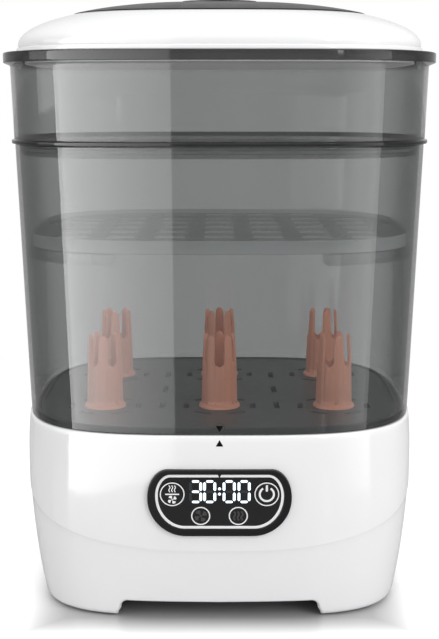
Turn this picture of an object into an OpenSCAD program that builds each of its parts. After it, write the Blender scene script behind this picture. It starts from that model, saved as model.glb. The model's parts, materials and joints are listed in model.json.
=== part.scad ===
// Steam bottle steriliser and dryer, drawn as the stack of pieces that it comes apart into.
// +Z is up, the front is -Y, and the origin is on the table under the middle of the base.

/* [Overall] */
// Half the width over the rim of the upper tray
rim_half = 145; // [140:1:150]
// How much less the half depth is than the half width, the same at every height
depth_cut = 10; // [6:1:14]
// Power of the rounded-rectangle plan outline
plan_power = 3.4; // [3:0.1:4]
// Thickness of the moulded plastic walls
wall = 2.6; // [2.2:0.1:3]

/* [Base] */
// Height of the top edge of the white base
base_top = 127; // [124:1:130]
// Half width of the base at its widest height
base_half = 134.5; // [133:0.5:136]
// Height at which the base is widest
base_widest_z = 100; // [90:1:105]
// Height of the arch under the front and the back, at its middle
arch_height = 11.8; // [9:0.1:12.2]
// Half width of that arch
arch_half = 67.5; // [55:0.5:70]

/* [Control panel] */
// Height of the panel's middle
panel_z = 83.2; // [80:0.2:85]
// Width of the black bezel
bezel_w = 93; // [92:0.5:95]
// Height of the black bezel
bezel_h = 44.5; // [44:0.5:46]
// Radius of the two push buttons
button_r = 8.1; // [7:0.1:8.1]
// Distance of the push buttons from the middle
button_x = 30.4; // [30.3:0.1:30.8]

/* [Chamber] */
// Outer half width of the clear housing at its foot
housing_foot_half = 132; // [131:0.5:133]
// Outer half width of the clear housing at its mouth
housing_mouth_half = 138.6; // [138:0.1:139]
// Height of the housing's mouth
housing_top = 310.3; // [305:0.1:312]
// Top of the bottle rack's plate
rack_top = 130; // [129.5:0.1:130.5]
// Height of a bottle peg
peg_height = 51; // [45:1:55]
// Distance between neighbouring pegs along a row
peg_pitch_x = 79; // [76:1:80]
// Distance between the two rows of pegs
peg_pitch_y = 104; // [100:1:106]
// Top of the middle rack's floor
mid_rack_top = 249; // [240:1:255]

/* [Upper tray and lid] */
// Height of the top of the tray's rim
rim_top = 369.3; // [365:0.1:372]
// Rise of the domed lid over its flange
dome_rise = 31.2; // [28:0.2:33]
// Half width of the black cap on the lid
cap_half = 101; // [95:1:104]

/* [Hidden] */

// Colours of the mouldings and metal parts
WHITE = "#f4f4f5";
SMOKE = [0.36, 0.38, 0.38, 0.45];
BLACK = "#141516";
CHARCOAL = "#3b3e3f";
SALMON = "#c98f78";
STEEL = "#b9bcc0";
ALLOY = "#a4a7ab";
SILICONE = "#dcdedf";
RUBBER = "#2b2b2c";
BOARD = "#2f6b3c";
GREY = "#8f9294";

OUTLINE_POINTS = 72;
FN = 48;
GAP = 0.3; // clearance between pieces that lift apart
EPS = 0.01;

// Base profile: the wall curves in below and above its widest height
lower_sweep = 0.00104;
upper_sweep = 0.0021;
base_foot_z = 1;
base_foot_power = 4.1;
base_edge_r = 4;
arch_r = 6;
arch_bow = 0.8; // how much higher the arch is at its ends
ledge_z = 117.4;

// Deck stack inside the base
deck_z = ledge_z + GAP;
deck_t = 2.5;
deck_top = deck_z + deck_t;
deck_half = 129.2;
plate_r = 58;
plate_lip_r = 66;
plate_floor = 110;
plate_t = 1.2;
seal_t = 1;
post_xy = [102, 56];
post_r = 4.5;
foot_xy = [90, 78];
foot_r = 9.5;
cover_z = 13;
cover_t = 2.5;

// Fan in the rear of the base, with its axis along Y
fan_x = -20;
fan_z = 55;
fan_r = 38;
fan_y = 76;
fan_depth = 24;
fan_wall = 2;
outlet_w = 24;
outlet_x = fan_x + fan_r - outlet_w / 2;
outlet_y = fan_y + fan_depth / 2;
shaft_r = 1.5;
shaft_clearance = 0.05;
impeller_r = 31;
blades = 24;
filter_w = 66;
filter_h = 46;
filter_y = fan_y + fan_depth + 2 + 1.5;
filter_depth = 10;
filter_opening = 1.2;

// Cord gland at the rear
gland_x = 56;
gland_z = 25;
gland_r = 6.5;
cord_r = 3.75;
gland_y = 102;
gland_length = 18;

// Panel stack, measured outwards from the wall at the panel's middle
panel_tilt = atan(2 * lower_sweep * (base_widest_z - panel_z));
bezel_top_corner = [13, 18.9];
bezel_bottom_corner_w = 25;
bezel_front = 2;
bezel_back = -4;
ring_w = 83;
ring_h = 36.5;
ring_band = 1.8;
ring_y = 1;
ring_top_corner = [10, 14.5];
ring_bottom_corner_w = 19.2;
lens_back = -1.2;
lens_front = 1;
button_y = 5.3;
button_front = 1.2;
button_gap = 0.4;
light_x = 12.1;
light_y = -8.6;
light_r = 5;
display_w = 42;
display_h = 17;
display_y = 6.9;
board_front = -9.5;
board_t = 1.6;
switch_top = -6.2;

// Chamber details
housing_taper = (housing_mouth_half - housing_foot_half) / (housing_top - base_top);
skirt_half = 128.6;
skirt_drop = 6;
skirt_wall = 2.2;
ledge_half = 127;
ledge_drop = 5;
mid_rack_floor_t = 2.5;
mid_rack_half = 131;
mid_rack_lip = 3;
mid_rack_skirt = 3.2;
rack_half = 125.6;
rack_plate_t = 3;
peg_base_r = 13.2;
peg_tip_r = 10.2;
peg_flange_r = 14.2;
peg_plug_r = 6;
peg_wall = 2.2;
peg_slots = 5;
peg_slot_w = 6.6;
peg_slot_depth = 22;

// Upper tray
tray_foot = housing_top + GAP;
tray_flange_half = 140.8;
tray_flange_t = 2.6;
tray_skirt_half = 134.6;
tray_skirt_drop = 7.6;
tray_wall_foot_half = 139.1;
tray_wall_top_half = 140.7;
rim_height = 6.4;
rim_ledge_half = 132.8; // inner edge of the ledge that the lid rests on
rim_ledge_t = 2.4;
tray_floor_z = tray_foot - 5;
tray_floor_t = 2.4;

// Lid: the dome's section is a superellipse over its half width
flange_z = rim_top + GAP;
flange_t = 2.6;
flange_half = 136.4;
dome_half = 135.4;
dome_z = flange_z + 4.4;
dome_power = 2.04;
dome_middle_power = 2.8;
cap_share = cap_half / dome_half;
cap_t = 1.8;
cap_proud = 0.6;
vent_half = [26, 15];
vent_top = dome_z + dome_rise + cap_proud + 0.8;
liner_half = 131.4;
liner_foot = rim_top - 7;
liner_plate_z = flange_z + 2.2;
liner_plate_t = 1.8;
lid_screw_xy = [92, 82];
boss_top = 389;

// ---- Plan outline and swept shells ----

function spow(v, e) = sign(v) * pow(abs(v), e);

// Rounded-rectangle outline of a given half width
function outline(half, power = plan_power) =
    [for (i = [0 : OUTLINE_POINTS - 1])
        let (t = 360 * i / OUTLINE_POINTS)
        [half * spow(cos(t), 2 / power), (half - depth_cut) * spow(sin(t), 2 / power)]];

module slab(half, z, t, power = plan_power)
    translate([0, 0, z]) linear_extrude(t) polygon(outline(half, power));

module band(half, thickness, z, t)
    translate([0, 0, z]) linear_extrude(t) difference() {
        polygon(outline(half));
        polygon(outline(half - thickness));
    }

// Points of the outline at each [half, z, power] level
function level_points(levels) =
    [for (l = levels) for (p = outline(l[0], l[2])) [p[0], p[1], l[1]]];

function side_faces(from, to) =
    let (n = OUTLINE_POINTS)
    [for (i = [0 : n - 1], upper = [false, true])
        let (j = (i + 1) % n, a = from * n, b = to * n)
        upper ? [a + i, b + i, b + j] : [a + i, b + j, a + j]];

// Wall whose section is the closed loop of levels, up the outside and down the inside
module swept_wall(levels) {
    count = len(levels);
    polyhedron(level_points(levels),
        [for (k = [0 : count - 1]) each side_faces(k, (k + 1) % count)]);
}

// Solid stack of levels, closed at its foot and its top
module swept_solid(levels) {
    n = OUTLINE_POINTS;
    count = len(levels);
    polyhedron(level_points(levels), concat(
        [[for (i = [0 : n - 1]) i]],
        [for (k = [0 : count - 2]) each side_faces(k, k + 1)],
        [[for (i = [n - 1 : -1 : 0]) (count - 1) * n + i]]));
}

// ---- Small shared shapes ----

// Stadium slot, length along X
module slot(length, width) {
    square([length - width, width], center = true);
    for (side = [-1, 1]) translate([side * (length - width) / 2, 0]) circle(d = width, $fn = FN);
}

module rounded_rectangle(w, h, r) {
    square([w - 2 * r, h], center = true);
    square([w, h - 2 * r], center = true);
    for (x = [-1, 1], y = [-1, 1])
        translate([x * (w / 2 - r), y * (h / 2 - r)]) circle(r, $fn = FN);
}

// Quarter ellipse from an angle that is a multiple of 90
function corner(centre, radii, from) =
    [for (i = [0 : 24]) let (a = from + 90 * i / 24) centre + [radii[0] * cos(a), radii[1] * sin(a)]];

// Panel outline: quarter-ellipse corners, larger below than above, that meet at the sides
module panel_outline(w, h, top, bottom_w, inset) {
    middle = h / 2 - top[1];
    upper = top - [inset, inset];
    lower = [bottom_w - inset, h - top[1] - inset];
    x = w / 2 - inset;
    polygon(concat(
        corner([x - upper[0], middle], upper, 0), corner([upper[0] - x, middle], upper, 90),
        corner([lower[0] - x, middle], lower, 180), corner([x - lower[0], middle], lower, 270)));
}

module bezel_outline(inset = 0)
    panel_outline(bezel_w, bezel_h, bezel_top_corner, bezel_bottom_corner_w, inset);

module ring_outline(inset = 0) translate([0, ring_y])
    panel_outline(ring_w, ring_h, ring_top_corner, ring_bottom_corner_w, inset);

module tube(r, hole_r, z, h) translate([0, 0, z]) difference() {
    cylinder(r = r, h = h, $fn = FN);
    translate([0, 0, -1]) cylinder(r = hole_r, h = h + 2, $fn = FN);
}

module pan_screw(head_r, head_t, shank_r, length) {
    difference() {
        cylinder(r = head_r, h = head_t, $fn = 24);
        for (a = [0, 90]) rotate(a) translate([0, 0, 0.4])
            cube([head_r * 1.2, 0.7, 1], center = true);
    }
    translate([0, 0, head_t]) cylinder(r = shank_r, h = length, $fn = 24);
}

module at_corners(xy) for (x = [-1, 1], y = [-1, 1]) translate([x * xy[0], y * xy[1], 0]) children();

// Turns a shape drawn in XZ terms so that its extrusion runs along +Y from y
module along_y(y, length) translate([0, y + length, 0]) rotate([90, 0, 0]) linear_extrude(length) children();

// Panel frame: X to the right, Y up the wall, Z outwards
module on_panel()
    translate([0, depth_cut - base_half_at(panel_z), panel_z]) rotate([90 + panel_tilt, 0, 0]) children();

module panel_plate(back, front) translate([0, 0, back]) linear_extrude(front - back) children();

// ---- Base ----

function base_half_at(z) =
    base_half - (z < base_widest_z ? lower_sweep : upper_sweep) * pow(z - base_widest_z, 2);

// The plan gets squarer towards the foot
function base_power_at(z) = base_foot_power + (plan_power - base_foot_power) * min(1, z / base_widest_z);

function base_edge_at(z) =
    z > base_foot_z + base_edge_r ? 0
        : base_edge_r - sqrt(base_edge_r * base_edge_r - pow(base_foot_z + base_edge_r - z, 2));

function base_level(z, inset) = [base_half_at(z) - base_edge_at(z) - inset, z, base_power_at(z)];

base_heights = [base_foot_z, 1.5, 2.6, base_foot_z + base_edge_r, 14, 28, 42, 56, 70, 85, 100, 114,
    base_top - 1.2];

module base_skin() swept_wall(concat(
    [for (z = base_heights) base_level(z, 0)],
    [[base_half_at(base_top) - 1.1, base_top, plan_power], [deck_half + 0.5, base_top, plan_power],
        [deck_half + 0.5, ledge_z, plan_power], [deck_half - 4, ledge_z, plan_power],
        [deck_half - 4, ledge_z - 2, plan_power], [deck_half + 1, ledge_z - 6, plan_power]],
    [for (z = [100, 70, 42, 14, base_foot_z]) base_level(z, z == base_foot_z ? 1.2 : wall)]));

module arch_outline() {
    end = arch_height + arch_bow;
    polygon([[-arch_half - 4, -1], [-arch_half, end - arch_r], [arch_r - arch_half, end], [0, arch_height],
        [arch_half - arch_r, end], [arch_half, end - arch_r], [arch_half + 4, -1]]);
    for (side = [-1, 1]) translate([side * (arch_half - arch_r), end - arch_r]) circle(arch_r, $fn = FN);
}

module filter_window(w, h, y, length)
    along_y(y, length) translate([fan_x, fan_z]) rounded_rectangle(w, h, 3);

module base_shell() color(WHITE) difference() {
    base_skin();
    along_y(-160, 320) arch_outline();
    on_panel() panel_plate(-12, 6) bezel_outline(-0.1);
    filter_window(filter_w + 2 * filter_opening, filter_h + 2 * filter_opening, 100, 40);
    translate([gland_x, 90, gland_z]) rotate([-90, 0, 0]) cylinder(r = gland_r + 0.05, h = 50, $fn = FN);
}

module bottom_cover() color(CHARCOAL) difference() {
    union() {
        slab(base_half_at(cover_z) - wall - 0.8, cover_z, cover_t, base_power_at(cover_z));
        at_corners(foot_xy) translate([0, 0, 2]) cylinder(r = 12, h = cover_z - 2 + EPS, $fn = FN);
        for (p = [[-104, -44], [-54, -44], [-104, 34], [-54, 34]])
            translate([p[0], p[1], cover_z + cover_t - EPS]) cylinder(r = 3, h = 9, $fn = 24);
    }
    at_corners(foot_xy) translate([0, 0, 1]) cylinder(r = 5, h = 6, $fn = FN);
    at_corners(post_xy) translate([0, 0, 5]) cylinder(r = 1.5, h = 20, $fn = 24);
    for (i = [-4 : 4]) translate([i * 8, -40, cover_z - 1]) linear_extrude(5) rotate(90) slot(26, 3);
}

module foot() color(RUBBER) {
    cylinder(r = foot_r, h = 2, $fn = FN);
    translate([0, 0, 2 - EPS]) cylinder(r = 5, h = 4, $fn = FN);
}

module place_foot(x, y) translate([x * foot_xy[0], y * foot_xy[1], 0]) foot();
module foot_front_left() place_foot(-1, -1);
module foot_front_right() place_foot(1, -1);
module foot_rear_left() place_foot(-1, 1);
module foot_rear_right() place_foot(1, 1);

module base_screws() color(STEEL)
    at_corners(post_xy) translate([0, 0, cover_z - 2.2]) pan_screw(3.2, 2.2, 1.45, 14);

// Deck that closes the base, with the well for the plate, the air spout and the screw posts
module heating_deck() color(CHARCOAL) difference() {
    union() {
        slab(deck_half, deck_z, deck_t);
        at_corners(post_xy) translate([0, 0, cover_z + cover_t])
            cylinder(r = post_r, h = deck_z - cover_z - cover_t + EPS, $fn = FN);
        translate([outlet_x, outlet_y, deck_top - EPS]) cylinder(r = 12, h = 2.6, $fn = FN);
    }
    translate([0, 0, deck_z - 1]) cylinder(r = plate_r + 2, h = 5, $fn = 96);
    translate([outlet_x, outlet_y, deck_z - 1]) cylinder(r = 10, h = 12, $fn = FN);
    at_corners(post_xy) translate([0, 0, 5]) cylinder(r = 1.5, h = 24, $fn = 24);
    for (side = [-1, 1]) translate([side * 76, 0, deck_z - 1]) cylinder(r = 1.5, h = 3, $fn = 24);
}

module plate_seal() color(SILICONE) tube(plate_lip_r - 1, plate_r + 0.2, deck_top, seal_t);

// Shallow steel dish that boils the water
module heating_plate() color(STEEL) rotate_extrude($fn = 96) {
    lip_z = deck_top + seal_t;
    translate([0, plate_floor]) square([plate_r, plate_t]);
    translate([plate_r - plate_t, plate_floor]) square([plate_t, lip_z + plate_t - plate_floor]);
    translate([plate_r - plate_t, lip_z]) square([plate_lip_r - plate_r + plate_t, plate_t]);
}

heater_foot = 101.5;
module heater_element() color(ALLOY) {
    tube(48, 36, heater_foot, plate_floor - heater_foot);
    for (side = [-1, 1]) translate([side * 7, -42, heater_foot + 4]) rotate([90, 0, 0])
        cylinder(r = 2, h = 18, $fn = 24);
}

module heater_bracket() color(STEEL) difference() {
    union() {
        translate([-72, -7, heater_foot - 1.6]) cube([144, 14, 1.6]);
        for (side = [-1, 1]) {
            translate([side * 71.2 - 0.8, -7, heater_foot - 1.6])
                cube([1.6, 14, deck_z - heater_foot + 1.6]);
            translate([side * 76 - 5.6, -7, deck_z - 1.6]) cube([11.2, 14, 1.6]);
        }
    }
    for (side = [-1, 1]) translate([side * 76, 0, deck_z - 4]) cylinder(r = 1.6, h = 6, $fn = 24);
}

module bracket_screws() color(STEEL) for (side = [-1, 1])
    translate([side * 76, 0, deck_z - 1.6 - 1.8]) pan_screw(2.8, 1.8, 1.45, 3);

module thermostat() color(BLACK) {
    translate([0, 22, plate_floor - 7]) cylinder(r = 8, h = 7, $fn = FN);
    translate([0, 22, plate_floor - 1.5]) cylinder(r = 11, h = 1.5, $fn = FN);
    for (side = [-1, 1]) translate([side * 4 - 2, 21.6, plate_floor - 15]) cube([4, 0.8, 8 + EPS]);
}

module thermal_fuse() color(ALLOY) {
    translate([-8, -20, plate_floor - 3]) rotate([0, 90, 0]) cylinder(r = 3, h = 16, $fn = 24);
    for (side = [-1, 1]) translate([side * 9 - 2, -20, plate_floor - 3]) rotate([0, 90, 0])
        cylinder(r = 0.6, h = 4, $fn = 24);
}

// ---- Fan, filter and cord entry ----

module volute(inset) {
    top = deck_z - fan_z;
    translate([fan_x, fan_z]) {
        circle(fan_r - inset, $fn = 96);
        translate([fan_r - outlet_w + inset, 0]) square([outlet_w - 2 * inset, top + (inset > 0 ? 1 : 0)]);
    }
}

module fan_housing() color(CHARCOAL) difference() {
    along_y(fan_y, fan_depth) volute(0);
    along_y(fan_y + fan_wall, fan_depth) volute(fan_wall);
    along_y(fan_y - 1, 5) translate([fan_x, fan_z]) circle(4, $fn = FN);
}

// Plate with the intake, and the collar that holds the filter
module fan_cover() color(CHARCOAL) {
    y = fan_y + fan_depth;
    collar = 1.6;
    difference() {
        along_y(y, 2) union() {
            volute(0);
            translate([fan_x, fan_z])
                rounded_rectangle(filter_w + 2 + 2 * collar, filter_h + 2 + 2 * collar, 3);
        }
        along_y(y - 1, 4) translate([fan_x, fan_z]) circle(19, $fn = FN);
    }
    difference() {
        filter_window(filter_w + 2 + 2 * collar, filter_h + 2 + 2 * collar, y + 2 - EPS, 11.5);
        filter_window(filter_w + 2, filter_h + 2, y + 1, 15);
    }
}

module fan_motor() color(ALLOY) difference() {
    union() {
        along_y(fan_y - 24, 24) translate([fan_x, fan_z]) circle(15, $fn = FN);
        along_y(fan_y - 1.6, 1.6) translate([fan_x, fan_z]) slot(44, 14);
    }
    along_y(fan_y - 20, 22) translate([fan_x, fan_z]) circle(shaft_r + shaft_clearance, $fn = 24);
}

// Squirrel-cage rotor on its shaft
module impeller() color(GREY) {
    back = fan_y + 4;
    along_y(fan_y - 16, 28) translate([fan_x, fan_z]) circle(shaft_r, $fn = 24);
    along_y(back, 1.6) translate([fan_x, fan_z]) circle(impeller_r, $fn = FN);
    along_y(back, 10) translate([fan_x, fan_z]) circle(5, $fn = FN);
    along_y(back + 1.6 - EPS, 13) translate([fan_x, fan_z]) for (i = [0 : blades - 1])
        rotate(i * 360 / blades) translate([impeller_r - 4.6, 0]) rotate(30) square([8, 1.2], center = true);
    along_y(back + 13, 1.6) translate([fan_x, fan_z]) difference() {
        circle(impeller_r, $fn = FN);
        circle(impeller_r - 2.4, $fn = FN);
    }
}

module air_outlet_cap() color(CHARCOAL) translate([outlet_x, outlet_y, 0]) {
    translate([0, 0, deck_top + 4.2]) cylinder(r = 15, h = 1.4, $fn = FN);
    for (i = [0 : 3]) rotate(i * 90 + 45) translate([12.3, -1.5, deck_top]) cube([2, 3, 4.2 + EPS]);
}

module filter_frame() color(WHITE) difference() {
    filter_window(filter_w, filter_h, filter_y, filter_depth);
    along_y(filter_y - 1, filter_depth + 2) translate([fan_x, fan_z])
        square([filter_w - 6, filter_h - 6], center = true);
}

// Pleated paper, folded across the frame
module filter_media() color("#eceae2") {
    pleats = 14;
    w = filter_w - 6;
    pitch = w / pleats;
    front = filter_y + 1;
    back = filter_y + filter_depth - 1;
    translate([fan_x - w / 2, 0, fan_z - (filter_h - 6) / 2]) linear_extrude(filter_h - 6)
        polygon(concat(
            [for (i = [0 : 2 * pleats]) [i * pitch / 2, i % 2 == 0 ? front : back - 0.8]],
            [for (i = [2 * pleats : -1 : 0]) [i * pitch / 2, i % 2 == 0 ? front + 0.8 : back]]));
}

module filter_cover() color(WHITE) difference() {
    intersection() {
        swept_wall(concat([for (z = [20, 28, 42, 56, 70, 85]) base_level(z, 0)],
            [for (z = [85, 70, 42, 20]) base_level(z, wall)]));
        filter_window(filter_w + 1, filter_h + 1, 100, 40);
    }
    for (i = [-4 : 4]) along_y(100, 40) translate([fan_x + i * 6.4, fan_z - 2]) rotate(90) slot(32, 3);
    translate([fan_x, 131, fan_z + filter_h / 2 - 2]) sphere(r = 8, $fn = FN);
}

module cord_gland() color(RUBBER) translate([gland_x, gland_y, gland_z]) rotate([-90, 0, 0]) difference() {
    union() {
        cylinder(r = gland_r, h = gland_length, $fn = FN);
        translate([0, 0, 2]) cylinder(r = gland_r + 2, h = 3, $fn = FN);
    }
    translate([0, 0, -1]) cylinder(r = cord_r, h = gland_length + 2, $fn = FN);
}

module terminal_block() color(WHITE) translate([gland_x, 86, cover_z + cover_t]) difference() {
    translate([-13, -7, 0]) cube([26, 14, 13]);
    for (i = [-1 : 1]) translate([i * 8, 0, 6]) cylinder(r = 2.4, h = 10, $fn = 24);
}

board_z = cover_z + cover_t + 9 - EPS;
module power_board() color(BOARD) translate([-109, -49, board_z]) cube([60, 88, 1.6]);

module power_relay() color("#27548a") translate([-102, -40, board_z + 1.6]) cube([19, 15.5, 15.5]);

module power_capacitor() color(BLACK) translate([-66, -24, board_z + 1.6]) {
    cylinder(r = 9, h = 26, $fn = FN);
    translate([0, 24, 0]) cylinder(r = 6, h = 18, $fn = FN);
}

// ---- Control panel ----

panel_post_xy = [[35, -10.5], [-35, -10.5], [38.5, 13], [-38.5, 13]];

module at_buttons() for (side = [-1, 1]) translate([side * button_x, button_y, 0]) children();

module control_bezel() color(BLACK) on_panel() difference() {
    union() {
        panel_plate(bezel_back, bezel_front - 0.8) bezel_outline();
        panel_plate(bezel_front - 0.9, bezel_front) bezel_outline(0.8);
        for (p = panel_post_xy) translate([p[0], p[1], board_front])
            cylinder(r = 2.6, h = bezel_back - board_front + EPS, $fn = 24);
    }
    panel_plate(lens_back, bezel_front + 1) ring_outline(-0.1);
    at_buttons() translate([0, 0, bezel_back - 1]) cylinder(r = button_r + button_gap, h = 8, $fn = FN);
    translate([0, display_y, 0]) cube([display_w + 0.4, display_h + 0.4, 20], center = true);
    for (side = [-1, 1]) translate([side * light_x, light_y, bezel_back - 1])
        cylinder(r = light_r + 0.2, h = 8, $fn = FN);
    for (p = panel_post_xy) translate([p[0], p[1], board_front - 1]) cylinder(r = 1.1, h = 6, $fn = 24);
}

module panel_ring() color(WHITE) on_panel() panel_plate(lens_back, lens_front + 0.3) difference() {
    ring_outline();
    ring_outline(ring_band);
}

module panel_lens() color(BLACK) on_panel() difference() {
    panel_plate(lens_back, lens_front) ring_outline(ring_band + 0.05);
    at_buttons() translate([0, 0, -5]) cylinder(r = button_r + button_gap, h = 10, $fn = FN);
}

module push_button(side) color(BLACK) on_panel() translate([side * button_x, button_y, 0]) {
    stem_back = switch_top + 1;
    translate([0, 0, lens_back - 0.4]) cylinder(r = button_r, h = button_front - lens_back + 0.4, $fn = 96);
    translate([0, 0, stem_back]) cylinder(r = 2, h = lens_back - stem_back, $fn = 24);
}
module mode_button() push_button(-1);
module power_button() push_button(1);

module tact_switch(side) color(GREY) on_panel() translate([side * button_x, button_y, 0]) {
    translate([-3, -3, board_front]) cube([6, 6, 2.4]);
    translate([0, 0, board_front]) cylinder(r = 1.7, h = switch_top - board_front, $fn = 24);
}
module mode_switch() tact_switch(-1);
module power_switch() tact_switch(1);

module display_module() color(BLACK) on_panel()
    translate([-display_w / 2, display_y - display_h / 2, board_front])
        cube([display_w, display_h, lens_back - board_front]);

module indicator(side) color(SILICONE) on_panel() translate([side * light_x, light_y, board_front])
    cylinder(r = light_r, h = lens_back - board_front, $fn = FN);
module drying_light() indicator(-1);
module steam_light() indicator(1);

module control_board() color(BOARD) on_panel() difference() {
    panel_plate(board_front - board_t, board_front) bezel_outline(3);
    for (p = panel_post_xy) translate([p[0], p[1], board_front - 4]) cylinder(r = 1.2, h = 8, $fn = 24);
}

module panel_screws() color(STEEL) on_panel() for (p = panel_post_xy)
    translate([p[0], p[1], board_front - board_t - 1.6]) pan_screw(2.4, 1.6, 1.05, 5);

// ---- Bottle rack ----

function peg_places() = [for (row = [-1, 1], column = [-1 : 1])
    [column * peg_pitch_x, row * peg_pitch_y / 2]];

module bottle_rack() color(CHARCOAL) difference() {
    union() {
        slab(rack_half - 1, rack_top - rack_plate_t, rack_plate_t);
        band(rack_half, 2, deck_top + GAP, rack_top + 1 - deck_top - GAP);
    }
    for (p = peg_places()) translate([p[0], p[1], rack_top - rack_plate_t - 1]) {
        cylinder(r = peg_plug_r + 0.05, h = 6, $fn = FN);
        linear_extrude(6) for (i = [0 : 5]) rotate(i * 60) translate([23, 0]) rotate(90) slot(14, 4);
    }
    for (x = [-1, 1], y = [-1 : 1])
        translate([x * peg_pitch_x / 2, y * peg_pitch_y / 2.1, rack_top - rack_plate_t - 1])
            linear_extrude(6) rotate(90) slot(20, 4);
}

// Hollow peg with sprung fingers round its top
module peg() color(SALMON) difference() {
    rotate_extrude($fn = FN) {
        polygon([[peg_base_r - peg_wall, 0], [peg_flange_r, 0], [peg_flange_r, 1.6], [peg_base_r, 3.2],
            [peg_tip_r + 0.6, peg_height - 14], [peg_tip_r, peg_height - 1.4], [peg_tip_r - 0.9, peg_height],
            [peg_tip_r - peg_wall + 0.4, peg_height], [peg_tip_r - peg_wall, peg_height - 1.4],
            [peg_base_r - peg_wall, 3.2]]);
        translate([0, -rack_plate_t]) square([peg_plug_r, rack_plate_t + 2]);
        square([peg_base_r - 1, 2]);
    }
    for (i = [0 : peg_slots - 1]) rotate(i * 360 / peg_slots - 90)
        translate([peg_tip_r - 5, 0, peg_height - peg_slot_depth + peg_slot_w / 2]) {
            translate([0, -peg_slot_w / 2, 0]) cube([12, peg_slot_w, peg_height]);
            rotate([0, 90, 0]) cylinder(d = peg_slot_w, h = 12, $fn = 24);
        }
}

module place_peg(column, row) translate([column * peg_pitch_x, row * peg_pitch_y / 2, rack_top]) peg();
module peg_front_left() place_peg(-1, -1);
module peg_front_middle() place_peg(0, -1);
module peg_front_right() place_peg(1, -1);
module peg_rear_left() place_peg(-1, 1);
module peg_rear_middle() place_peg(0, 1);
module peg_rear_right() place_peg(1, 1);

// ---- Housing, middle rack and upper tray ----

function housing_half_at(z) = housing_foot_half + housing_taper * (z - base_top);

module housing() color(SMOKE) {
    foot = base_top + GAP;
    p = plan_power;
    swept_wall([[skirt_half, foot - skirt_drop, p], [skirt_half, foot, p], [housing_foot_half, foot, p],
        [housing_mouth_half, housing_top, p], [housing_mouth_half - wall, housing_top, p],
        [housing_half_at(foot + 4) - wall, foot + 4, p], [skirt_half - skirt_wall, foot, p],
        [skirt_half - skirt_wall, foot - skirt_drop, p]]);
    ledge_z1 = mid_rack_top - mid_rack_floor_t - mid_rack_skirt - GAP;
    ledge_root = housing_half_at(ledge_z1 - ledge_drop) - wall / 2;
    intersection() {
        band(ledge_root, ledge_root - ledge_half, ledge_z1 - ledge_drop, ledge_drop);
        at_corners([140, 130]) translate([0, 0, ledge_z1]) cube([110, 110, 40], center = true);
    }
    for (side = [-1, 1]) translate([side * (ledge_half + 2) - 4, -1.6, 140]) cube([8, 3.2, ledge_z1 - 140]);
}

module mid_rack() color(SMOKE) difference() {
    floor_z = mid_rack_top - mid_rack_floor_t;
    union() {
        slab(mid_rack_half - 1, floor_z, mid_rack_floor_t);
        band(mid_rack_half, 2, floor_z - mid_rack_skirt, mid_rack_floor_t + mid_rack_skirt + mid_rack_lip);
    }
    translate([0, 0, floor_z - 1]) linear_extrude(5)
        for (row = [-3 : 3], column = [-3 : 3]) if (abs(row) < 3 || abs(column) < 3)
            translate([column * 33, row * 34]) rounded_rectangle(21, 13, 3);
}

module upper_tray() color(SMOKE) {
    p = plan_power;
    rim_foot = rim_top - rim_height;
    swept_wall([[tray_skirt_half, tray_foot - tray_skirt_drop, p], [tray_skirt_half + 0.4, tray_foot, p],
        [tray_flange_half - 0.5, tray_foot, p], [tray_flange_half, tray_foot + 0.5, p],
        [tray_flange_half, tray_foot + tray_flange_t - 0.5, p],
        [tray_flange_half - 0.5, tray_foot + tray_flange_t, p],
        [tray_wall_foot_half, tray_foot + tray_flange_t, p], [tray_wall_top_half, rim_foot - 1.8, p],
        [rim_half - 0.6, rim_foot, p], [rim_half, rim_foot + 0.8, p], [rim_half, rim_top - 0.8, p],
        [rim_half - 0.7, rim_top, p], [rim_ledge_half, rim_top, p],
        [rim_ledge_half, rim_top - rim_ledge_t, p],
        [tray_wall_top_half - wall, rim_top - rim_ledge_t, p], [tray_wall_top_half - wall, rim_foot, p],
        [tray_wall_foot_half - wall, tray_foot + tray_flange_t, p],
        [tray_skirt_half - wall + 0.4, tray_foot, p],
        [tray_skirt_half - wall, tray_foot - tray_skirt_drop, p]]);
    difference() {
        slab(tray_skirt_half - wall / 2, tray_floor_z, tray_floor_t);
        translate([0, 0, tray_floor_z - 1]) linear_extrude(5)
            for (row = [-3 : 3], column = [-3 : 3]) if (abs(row) < 3 || abs(column) < 3)
                translate([column * 31, row * 30]) slot(16, 5);
    }
}

// ---- Lid ----

function dome_level(share, drop = 0) = [
    dome_half * share,
    dome_z - drop + dome_rise * pow(max(0, 1 - pow(share, dome_power)), 1 / dome_power),
    dome_middle_power + (plan_power - dome_middle_power) * max(0, share - cap_share) / (1 - cap_share)];

module lid_shell() color(WHITE) {
    p = plan_power;
    boss_z = liner_plate_z + liner_plate_t;
    at_corners(lid_screw_xy) tube(4, 1.5, boss_z, boss_top - boss_z);
    swept_wall(concat(
        [[flange_half, flange_z, p], [flange_half, flange_z + flange_t - 0.6, p],
            [flange_half - 0.6, flange_z + flange_t, p], [dome_half - 0.4, flange_z + flange_t + 0.2, p],
            [dome_half, dome_z, p]],
        [for (s = [0.996, 0.98, 0.95, 0.9, 0.83, 0.76, cap_share]) dome_level(s)],
        [dome_level(cap_share, cap_t), dome_level(cap_share - 0.04, cap_t),
            dome_level(cap_share - 0.04, cap_t + 2)],
        [for (s = [0.83, 0.93, 0.97]) dome_level(s, wall + 0.6)],
        [[liner_half + 1, flange_z + flange_t, p], [liner_half + 1, flange_z, p]]));
}

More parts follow.
